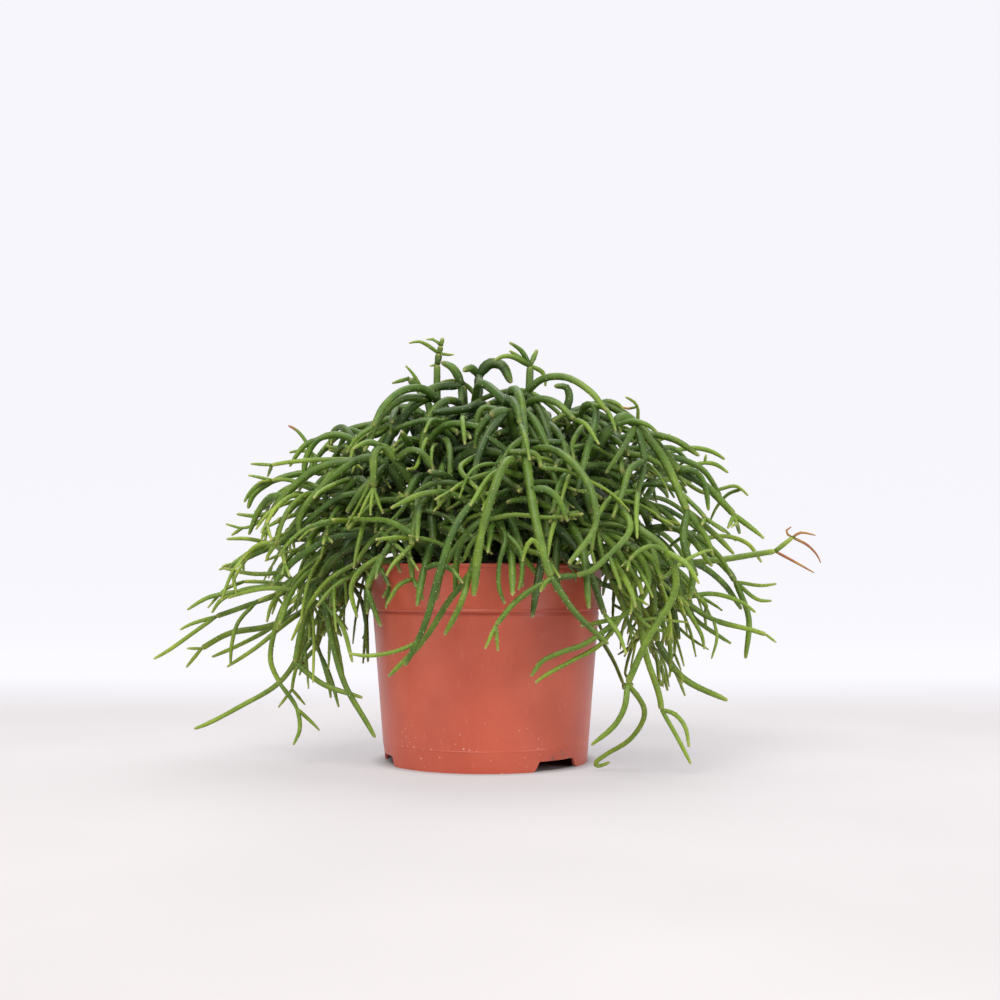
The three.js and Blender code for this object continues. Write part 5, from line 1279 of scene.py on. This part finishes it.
def skin_cutting(number, name):
    draw = seeded(1000 + 7 * number)
    V, quads, triangles, wool, growth, bronze = [], [], [], [], [], []
    count = 0
    starts = {}
    index = -1
    for child in plant.strands:
        if child["cutting"] == number and child["parent"] >= 0:
            starts.setdefault(child["parent"], set()).add(child["ids"][0])
    for s, strand in enumerate(plant.strands):
        if strand["cutting"] != number or is_left_out(s):
            continue
        index += 1
        points = np.array([plant.position[i] for i in strand["ids"]])
        knots = np.append(0, np.cumsum(np.linalg.norm(np.diff(points, axis=0), axis=1)))
        between_ends = list(enumerate(strand["ids"]))[1:-1]
        joints = [knots[k] for k, i in between_ends if i in starts.get(s, ())]
        if strand["parent"] >= 0:
            joints.append(0.6 * plant.radius[strand["ids"][0]])
        free = strand["ids"][-1] not in starts.get(s, ())
        vertices, q, caps, skin, sides = stem_mesh(strand, points, joints, free, draw)
        collar = COLLAR_TUFTS if strand["parent"] >= 0 and draw(0, 1) < WOOLLY_FEET else 0
        turns = BRONZE.get(name, {}).get(index)
        tufts, tuft_faces = areoles(skin, free, collar, draw) if turns is None else NO_WOOL
        values, browned = growth_of(strand, skin, sides, draw, turns)
        V += [vertices, tufts]
        quads.append(q + count)
        triangles.append(caps + count)
        wool.append(tuft_faces + count + len(vertices))
        growth += [values, np.zeros((len(tufts), 4))]
        bronze += [browned, np.zeros(len(tufts))]
        count += len(vertices) + len(tufts)
    faces = [np.vstack(quads), np.vstack(triangles), np.vstack(wool)]
    which = np.concatenate([np.zeros(len(faces[0])), np.zeros(len(faces[1])), np.ones(len(faces[2]))])
    obj = mesh_object(name + "_stems", np.vstack(V), faces, [EPIDERMIS, WOOL], which)
    paint(obj.data, "growth", np.vstack(growth))
    paint(obj.data, "bronze", np.concatenate(bronze))
    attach(obj, "root")
    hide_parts(name)
    return 2 * len(faces[0]) + len(faces[1]), len(faces[2])


totals = np.array([skin_cutting(number, name) for number, (name, _, _) in enumerate(everything)])
print(len(totals), "cuttings skinned; triangles of skin and wool:", totals.sum(axis=0))
print("most triangles on one cutting:", totals.sum(axis=1).max())

# %% [markdown]
# ## The pot: moulded polypropylene
#
# A nursery pot is injection-moulded polypropylene, coloured through in terracotta red. The mould leaves
# a smooth, slightly greasy satin surface: IOR 1.49, roughness near 0.4. Handling adds fine scratches,
# and watering leaves pale specks of dust and lime, mostly near the foot.

# %% Material: moulded polypropylene
SCRATCH = 0.5 * MM
SPECK = 1.6 * MM
CLOUD = 22 * MM  # slow changes of the red
STREAK = 1.1 * MM
SPECK_PATCH = 12 * MM
DIRT_CRUMB = 1.4 * MM
NOTCH_TURN = math.radians(NOTCH_FIRST_DEG)
NOTCH_CENTRE = (BASE_RADIUS * MM * math.cos(NOTCH_TURN), BASE_RADIUS * MM * math.sin(NOTCH_TURN), 0)


def moulded_polypropylene():
    mat, tree = material("moulded_polypropylene", "pot_plastic")
    place = node(tree, "TexCoord").outputs["Object"]
    height = node(tree, "SeparateXYZ", {"Vector": place}).outputs["Z"]
    cloudy = node(tree, "TexNoise", {"Vector": place, "Scale": 1 / CLOUD, "Detail": 3.0})
    grain = node(tree, "TexNoise", {"Vector": place, "Scale": 1 / SCRATCH, "Detail": 2.0})
    base = node(tree, "ValToRGB", {"Fac": cloudy.outputs["Fac"]}, stops=[
        (0.3, linear("B44E38")), (0.7, linear("BE573F"))])
    stretched = node(tree, "Mapping", {"Vector": place, "Scale": (1.0, 1.0, 0.16)})
    streaks = node(tree, "TexNoise", {"Vector": stretched.outputs[0], "Scale": 1 / STREAK, "Detail": 2.0})
    streak_amount = node(tree, "MapRange", {
        "Value": streaks.outputs["Fac"], "From Min": 0.62, "From Max": 0.80,
        "To Min": 0.0, "To Max": 0.16})
    streaked = node(tree, "Mix", {0: streak_amount.outputs[0], 6: base.outputs[0], 7: linear("DE9884")},
                    data_type="RGBA")
    specks = node(tree, "TexVoronoi", {"Vector": place, "Scale": 1 / (2 * SPECK), "Randomness": 1.0})
    patchy = node(tree, "TexNoise", {"Vector": place, "Scale": 1 / SPECK_PATCH, "Detail": 3.0})
    near_foot = node(tree, "MapRange", {
        "Value": height, "From Min": 0.0, "From Max": 40 * MM, "To Min": 0.20, "To Max": 0.06})
    size = node(tree, "MapRange", {"Value": patchy.outputs["Fac"], "From Min": 0.36, "From Max": 0.62})
    limit = node(tree, "Math", {0: size.outputs[0], 1: near_foot.outputs[0]}, operation="MULTIPLY")
    spot = node(tree, "Math", {0: specks.outputs["Distance"], 1: limit.outputs[0]}, operation="LESS_THAN")
    spot_soft = node(tree, "Math", {0: spot.outputs[0], 1: 0.42}, operation="MULTIPLY")
    dusty = node(tree, "Mix", {0: spot_soft.outputs[0], 6: streaked.outputs[2], 7: linear("E2C4B4")},
                 data_type="RGBA")
    from_notch = node(tree, "VectorMath", {0: place, 1: NOTCH_CENTRE}, operation="DISTANCE")
    crumbs = node(tree, "TexNoise", {"Vector": place, "Scale": 1 / DIRT_CRUMB, "Detail": 3.0})
    washed = node(tree, "MapRange", {
        "Value": from_notch.outputs["Value"], "From Min": 7 * MM, "From Max": 16 * MM,
        "To Min": 0.56, "To Max": 0.80})
    dirt = node(tree, "Math", {0: crumbs.outputs["Fac"], 1: washed.outputs[0]}, operation="GREATER_THAN")
    soiled = node(tree, "Mix", {0: dirt.outputs[0], 6: dusty.outputs[2], 7: linear("7A5644")},
                  data_type="RGBA")
    rough = node(tree, "MapRange", {"Value": cloudy.outputs["Fac"], "To Min": 0.30, "To Max": 0.42})
    relief = node(tree, "Bump", {"Height": grain.outputs["Fac"], "Strength": 0.12, "Distance": 0.05 * MM})
    shader = node(tree, "BsdfPrincipled", {
        "Base Color": soiled.outputs[2], "Roughness": rough.outputs[0],
        "Normal": relief.outputs[0], "IOR": 1.49})
    finish_shader(tree, shader)
    return mat


POLYPROPYLENE = moulded_polypropylene()
print("made", POLYPROPYLENE.name)

# %% [markdown]
# ## Turning the pot
#
# The frame's pot is right in size but has sharp facets. The visible one is turned from a profile with
# the radii that a mould has: a rolled lip, a soft step under the band, a parting line just above the
# foot. The notches come from the same turning: where a notch is, the bottom of the wall is lifted by a
# smooth curve of the angle.

# %% Profile and foot of the pot
POT_TURNS = 192
PARTING_HEIGHT = 10.5
CORNER_RADIUS = 0.3


def rounded(points, radius, steps=4):
    """Replaces each inner corner of a polyline by a small arc."""
    out = [points[0]]
    for before, corner, after in zip(points, points[1:], points[2:]):
        a, b, c = (np.array(p, float) for p in (before, corner, after))
        into, away = a - b, c - b
        cut = min(radius, 0.45 * np.linalg.norm(into), 0.45 * np.linalg.norm(away))
        start, stop = b + into / np.linalg.norm(into) * cut, b + away / np.linalg.norm(away) * cut
        for t in np.linspace(0, 1, steps):
            out.append(tuple((1 - t) ** 2 * start + 2 * t * (1 - t) * b + t * t * stop))
    return out + [points[-1]]


def foot_lift(degrees):
    """How far the bottom of the wall is lifted at this angle: not on a foot, fully in a notch."""
    half = math.degrees(0.5 * NOTCH_WIDTH / BASE_RADIUS)
    flare = math.degrees(NOTCH_FLARE / BASE_RADIUS)
    off = np.abs((np.asarray(degrees) - NOTCH_FIRST_DEG + 60) % 120 - 60)
    t = np.clip((half + flare - off) / (1.35 * flare), 0, 1)
    return NOTCH_HEIGHT * t * t * (3 - 2 * t)


def pot_profile():
    """Radius and height of each point, up the outside from the foot and down the inside."""
    seam = wall_radius(PARTING_HEIGHT)
    outer = [(BASE_RADIUS, 0), (seam - 0.02, PARTING_HEIGHT - 0.25), (seam + 0.18, PARTING_HEIGHT),
             (seam, PARTING_HEIGHT + 0.3)]
    outer += [(wall_radius(z), z) for z in np.linspace(16, 72, 12)]
    outer += [(WALL_TOP_RADIUS - 0.1, BAND_BOTTOM - 2), (WALL_TOP_RADIUS - 0.5, BAND_BOTTOM - 0.7),
              (WALL_TOP_RADIUS - 0.5, BAND_BOTTOM), (BAND_RADIUS + 0.1, BAND_BOTTOM),
              (BAND_RADIUS + 0.1, BAND_BOTTOM + 0.8), (BAND_RADIUS - 0.25, BAND_BOTTOM + 1.5),
              (BAND_RADIUS - 0.1, 88), (BAND_RADIUS, POT_HEIGHT - LIP_HEIGHT),
              (LIP_RADIUS, POT_HEIGHT - LIP_HEIGHT + 0.35), (LIP_RADIUS, POT_HEIGHT - 0.1)]
    inner = [(BAND_RADIUS - WALL, POT_HEIGHT), (BAND_RADIUS - WALL - 0.3, BAND_BOTTOM + WALL),
             (WALL_TOP_RADIUS - WALL, BAND_BOTTOM - WALL), (wall_radius(FLOOR_TOP) - WALL, FLOOR_TOP)]
    return rounded(outer + inner, CORNER_RADIUS)


print("profile of the pot:", len(pot_profile()), "points")
print("lift in the middle of a notch:", float(foot_lift(NOTCH_FIRST_DEG)), "mm")


# %% Build the pot
def build_pot():
    """Outer and inner wall as one turned skin, with the floor's two faces pierced by the drain holes."""
    under = [(wall_radius(FLOOR_UNDERSIDE) - WALL, FLOOR_UNDERSIDE), (BASE_RADIUS - WALL, 0.0)]
    degrees = np.arange(POT_TURNS) * 360 / POT_TURNS
    turn = np.radians(degrees)
    lift = foot_lift(degrees)
    rings = []
    for r, z in under + pot_profile():
        height = np.full(POT_TURNS, float(z))
        if z < NOTCH_HEIGHT:
            height = np.maximum(z, np.minimum(lift, z + NOTCH_HEIGHT))
        rings.append(np.stack([r * np.cos(turn), r * np.sin(turn), height], axis=1))
    vertices = np.vstack(rings)
    k = np.arange(POT_TURNS)
    n = (k + 1) % POT_TURNS
    first = POT_TURNS * np.arange(len(rings) - 1)[:, None]
    corners = [first + k, first + n, first + n + POT_TURNS, first + k + POT_TURNS]
    quads = np.stack(corners, axis=-1).reshape(-1, 4)
    top_ring = POT_TURNS * (len(rings) - 1)
    centre = len(vertices)
    vertices = np.vstack([vertices, [[0, 0, FLOOR_UNDERSIDE], [0, 0, FLOOR_TOP]]])
    floors = np.vstack([np.stack([np.full(POT_TURNS, centre), n, k], 1),
                        np.stack([np.full(POT_TURNS, centre + 1), top_ring + k, top_ring + n], 1)])
    return mesh_object("nursery_pot", vertices, [quads, floors], [POLYPROPYLENE], sharp_degrees=38)


DRAIN_HOLES = 6
DRAIN_SIDES = 24
CUTTER_HEIGHTS = (3.0, 9.0)  # past the floor's underside and its top


def drain_cutters():
    """A prism for each drain hole, all in one mesh."""
    k = np.arange(DRAIN_SIDES)
    n = (k + 1) % DRAIN_SIDES
    fan = np.arange(1, DRAIN_SIDES - 1)
    vertices, quads, caps = [], [], []
    for i in range(DRAIN_HOLES):
        turn = math.radians(NOTCH_FIRST_DEG + 360 / DRAIN_HOLES * i)
        x = DRAIN_CIRCLE * math.cos(turn) + DRAIN_RADIUS * np.cos(2 * np.pi * k / DRAIN_SIDES)
        y = DRAIN_CIRCLE * math.sin(turn) + DRAIN_RADIUS * np.sin(2 * np.pi * k / DRAIN_SIDES)
        vertices += [np.stack([x, y, np.full(DRAIN_SIDES, z)], 1) for z in CUTTER_HEIGHTS]
        a = 2 * DRAIN_SIDES * i
        b = a + DRAIN_SIDES
        quads.append(np.stack([a + k, a + n, b + n, b + k], -1))
        caps.append(np.stack([a + 0 * fan, a + fan + 1, a + fan], -1))
        caps.append(np.stack([b + 0 * fan, b + fan, b + fan + 1], -1))
    return mesh_object("drain_cutters", np.vstack(vertices), [np.vstack(quads), np.vstack(caps)], [])


def cut(obj, cutter):
    """Takes the cutter away from the object and applies the result."""
    modifier = obj.modifiers.new("cut", "BOOLEAN")
    modifier.operation, modifier.object, modifier.solver = "DIFFERENCE", cutter, "EXACT"
    depsgraph = bpy.context.evaluated_depsgraph_get()
    cut_mesh = bpy.data.meshes.new_from_object(obj.evaluated_get(depsgraph))
    obj.modifiers.clear()
    obj.data = cut_mesh
    bpy.data.objects.remove(cutter)


pot = build_pot()
cut(pot, drain_cutters())
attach(pot, "root")
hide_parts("pot")
print("pot:", len(pot.data.polygons), "faces")

# %% [markdown]
# ## The potting mix: peat and bark
#
# The mix is milled peat with bits of bark and fibre, nearly black when damp. It swallows light:
# roughness near 1, with crumbs from half a millimetre to three. The surface is a fine polar grid lifted
# by noise, and a few hundred loose crumbs lie on it.


# %% Material: damp peat
PEAT_CRUMB = 1.8 * MM
PEAT_FIBRE = 0.7 * MM


def damp_peat():
    mat, tree = material("damp_peat", "potting_mix")
    place = node(tree, "TexCoord").outputs["Object"]
    crumbs = node(tree, "TexVoronoi", {"Vector": place, "Scale": 1 / PEAT_CRUMB, "Randomness": 1.0})
    fibres = node(tree, "TexNoise", {"Vector": place, "Scale": 1 / PEAT_FIBRE, "Detail": 4.0})
    shade = node(tree, "Math", {0: crumbs.outputs["Color"], 1: fibres.outputs["Fac"]}, operation="MULTIPLY")
    colour = node(tree, "ValToRGB", {"Fac": shade.outputs[0]}, stops=[
        (0.05, linear("1C130E")), (0.30, linear("35241A")), (0.62, linear("5A4232"))])
    relief = node(tree, "Bump", {"Height": fibres.outputs["Fac"], "Strength": 0.8, "Distance": 0.5 * MM})
    shader = node(tree, "BsdfPrincipled", {
        "Base Color": colour.outputs[0], "Roughness": 0.95, "Normal": relief.outputs[0], "IOR": 1.5})
    finish_shader(tree, shader)
    return mat


PEAT = damp_peat()
print("made", PEAT.name)

# %% Build the potting mix
MIX_TURNS = 150
MIX_RINGS = 46
CLOD = 4  # mm
GRIT = 1.5
CRUMBS = 620
CRUMB_REACH = 54  # mm from the middle


def build_mix():
    """The crumbly top, the tapered side against the wall, and the flat bottom, as one closed skin."""
    edge = wall_radius(SOIL_EDGE - 20) - WALL - CLEARANCE
    shoulder = BAND_BOTTOM - 2 * WALL
    bottom = FLOOR_TOP + CLEARANCE
    angle = 2 * np.pi * np.arange(MIX_TURNS) / MIX_TURNS
    vertices = [[0, 0, float(soil_top(0, 0))]]
    for radius in edge * np.arange(1, MIX_RINGS + 1) / MIX_RINGS:
        for a in angle:
            x, y = radius * math.cos(a), radius * math.sin(a)
            clods = noise.noise(Vector((x / CLOD, y / CLOD, 0)))
            grit = noise.noise(Vector((x / GRIT, y / GRIT, 7)))
            vertices.append([x, y, float(soil_top(x, y)) + 1.1 * (1.1 * clods + 0.7 * grit)])
    for radius, z in ((min(edge, wall_radius(shoulder) - WALL - CLEARANCE), shoulder),
                      (wall_radius(bottom) - WALL - CLEARANCE, bottom)):
        vertices += [[radius * math.cos(a), radius * math.sin(a), z] for a in angle]
    vertices.append([0, 0, bottom])
    k = np.arange(MIX_TURNS)
    n = (k + 1) % MIX_TURNS
    first = 1 + MIX_TURNS * np.arange(MIX_RINGS + 1)[:, None]
    corners = [first + k, first + k + MIX_TURNS, first + n + MIX_TURNS, first + n]
    quads = np.stack(corners, axis=-1).reshape(-1, 4)
    last = 1 + MIX_TURNS * (MIX_RINGS + 1)
    end = len(vertices) - 1
    caps = np.vstack([np.stack([0 * k, 1 + k, 1 + n], 1), np.stack([end + 0 * k, last + n, last + k], 1)])
    return np.array(vertices), quads, caps


def crumb_meshes(draw, count):
    """Loose crumbs: octahedra with every corner pulled in or out, lying in the surface."""
    corners = np.array([[1, 0, 0], [-1, 0, 0], [0, 1, 0], [0, -1, 0], [0, 0, 1], [0, 0, -1]], float)
    sides = np.array([[0, 2, 4], [2, 1, 4], [1, 3, 4], [3, 0, 4],
                      [2, 0, 5], [1, 2, 5], [3, 1, 5], [0, 3, 5]])
    vertices, faces = [], []
    for i in range(count):
        radius = CRUMB_REACH * math.sqrt(draw(0, 1))
        turn = draw(0, 6.28)
        size = draw(0.5, 1.5) ** 1.5
        x, y = radius * math.cos(turn), radius * math.sin(turn)
        stretch = np.array([draw(0.6, 1.7), draw(0.6, 1.3), draw(0.5, 0.9)]) * size
        jitter = np.array([[draw(0.7, 1.3)] for _ in corners])
        c, s = math.cos(draw(0, 6.28)), math.sin(draw(0, 6.28))
        lump = corners * jitter * stretch
        lump = np.stack([c * lump[:, 0] - s * lump[:, 1], s * lump[:, 0] + c * lump[:, 1], lump[:, 2]], 1)
        vertices.append(lump + [x, y, float(soil_top(x, y)) + 0.4 * size])
        faces.append(sides + 6 * i)
    return np.vstack(vertices), np.vstack(faces)


mix_vertices, mix_quads, mix_caps = build_mix()
crumb_vertices, crumb_faces = crumb_meshes(seeded(909), CRUMBS)
mix = mesh_object("crumbly_mix", np.vstack([mix_vertices, crumb_vertices]),
                  [mix_quads, mix_caps, crumb_faces + len(mix_vertices)], [PEAT], sharp_degrees=45)
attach(mix, "root")
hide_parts("potting_mix")
print("mix:", len(mix.data.polygons), "faces")

# %% [markdown]
# ## Floor, light and camera
#
# The plant stands on a milky table that sweeps up behind it, so the background has no edge. The sheet
# is lit a little from below beside the pot, and fully where it turns up, so it is almost as bright as
# the wall. Towards the pot's foot that glow fades out, which paints a soft contact shadow round it.
# Four large soft lights give the even, nearly shadowless look of a catalogue page: the key light from
# the front and above, one from each side, and one from the top. A lens that is a little longer than
# normal keeps the pot's sides straight.


# %% Material: studio sweep
NEAR_EDGE = 0.16  # m behind the plant where the sweep starts to glow
FAR_EDGE = 0.60
TABLE_GLOW = 0.4  # the table is lit a little from below too


def glowing_sweep():
    """Milky acrylic, lit a little from below beside the pot and fully behind the plant.
    The glow fades out towards the pot's foot, which paints a soft contact shadow round it.
    """
    mat, tree = material("glowing_sweep", "floor")
    place = node(tree, "TexCoord").outputs["Object"]
    depth = node(tree, "SeparateXYZ", {"Vector": place}).outputs["Y"]
    clouds = node(tree, "TexNoise", {"Vector": place, "Scale": 5.0, "Detail": 2.0})
    paint_colour = node(tree, "ValToRGB", {"Fac": clouds.outputs["Fac"]}, stops=[
        (0.3, linear("8F8A88")), (0.7, linear("979291"))])
    glow = node(tree, "MapRange", {"Value": depth, "From Min": NEAR_EDGE, "From Max": FAR_EDGE},
                interpolation_type="SMOOTHSTEP")
    colour = node(tree, "Mix", {0: glow.outputs[0], 6: paint_colour.outputs[0], 7: (0, 0, 0, 1)},
                  data_type="RGBA")
    from_axis = node(tree, "VectorMath", {0: place, 1: (0, 0, 0)}, operation="DISTANCE")
    # the glow fades out from 60 mm to 48 mm off the axis: a painted contact shadow round the pot's foot
    glow_past_foot_shadow = node(tree, "MapRange", {
        "Value": from_axis.outputs["Value"], "From Min": 48 * MM, "From Max": 60 * MM,
        "To Max": TABLE_GLOW})
    light = node(tree, "MapRange", {
        "Value": glow.outputs[0], "To Min": glow_past_foot_shadow.outputs[0], "To Max": 1.0})
    shader = node(tree, "BsdfPrincipled", {
        "Base Color": colour.outputs[2], "Roughness": 0.8, "Specular IOR Level": 0.2,
        "Emission Color": linear("F6F5FB"), "Emission Strength": light.outputs[0]})
    finish_shader(tree, shader)
    return mat


def sweep():
    """A floor that turns up into a wall in one smooth curve."""
    steps = [(-1600, 0), (900, 0)]
    steps += [(900 + 900 * math.sin(a), 900 - 900 * math.cos(a)) for a in np.radians(np.arange(6, 91, 6))]
    steps += [(1800, 3200)]
    vertices = [(x, y, z) for y, z in steps for x in (-4000, 4000)]
    quads = np.array([[2 * i, 2 * i + 1, 2 * i + 3, 2 * i + 2] for i in range(len(steps) - 1)])
    return mesh_object("studio_sweep", vertices, [quads], [glowing_sweep()])


sweep()


AIM = (0, 0, 0.1)  # the heart of the plant


def soft_light(name, place, size, watts, colour):
    lamp = bpy.data.lights.new(name, "AREA")
    lamp.shape, lamp.size, lamp.energy, lamp.color = "DISK", size, watts, colour[:3]
    obj = bpy.data.objects.new(name, lamp)
    obj.location = place
    obj.rotation_euler = (Vector(AIM) - Vector(place)).to_track_quat("-Z", "Y").to_euler()
    bpy.context.scene.collection.objects.link(obj)


soft_light("key_light", (-0.35, -1.0, 1.25), 1.0, 24, linear("FFFCF7"))
soft_light("right_light", (1.1, -0.8, 0.45), 0.8, 10, linear("F7FAFF"))
soft_light("left_light", (-1.1, -0.9, 0.4), 0.8, 4, linear("FFFFFF"))
soft_light("top_light", (0.1, 0.4, 1.4), 1.2, 14, linear("FFFFFF"))
world = bpy.data.worlds.new("studio")
bpy.context.scene.world = world
world.use_nodes = True
world.node_tree.nodes["Background"].inputs["Color"].default_value = linear("FBFBFD")
world.node_tree.nodes["Background"].inputs["Strength"].default_value = 0.2
print("floor and", len(bpy.data.lights), "lights in place")

# %% Camera
CAMERA_DISTANCE = 0.761
CAMERA_HEIGHT = 0.1007
FOCAL_PIXELS = 1460
EYE_LEVEL_PIXEL = 565
AXIS_PIXEL = 486
FRAME_PIXELS = 1000

lens = bpy.data.cameras.new("camera")
lens.sensor_width = 36
lens.lens = FOCAL_PIXELS / FRAME_PIXELS * lens.sensor_width
camera = bpy.data.objects.new("camera", lens)
camera.location = (0, -CAMERA_DISTANCE, CAMERA_HEIGHT)
right = (FRAME_PIXELS / 2 - AXIS_PIXEL) / FOCAL_PIXELS
up = (EYE_LEVEL_PIXEL - FRAME_PIXELS / 2) / FOCAL_PIXELS
camera.rotation_euler = Vector((right, 1, up)).to_track_quat("-Z", "Y").to_euler()
bpy.context.scene.collection.objects.link(camera)
bpy.context.scene.camera = camera
bpy.context.scene.view_settings.view_transform = "Standard"
print("lens", round(lens.lens, 1), "mm")
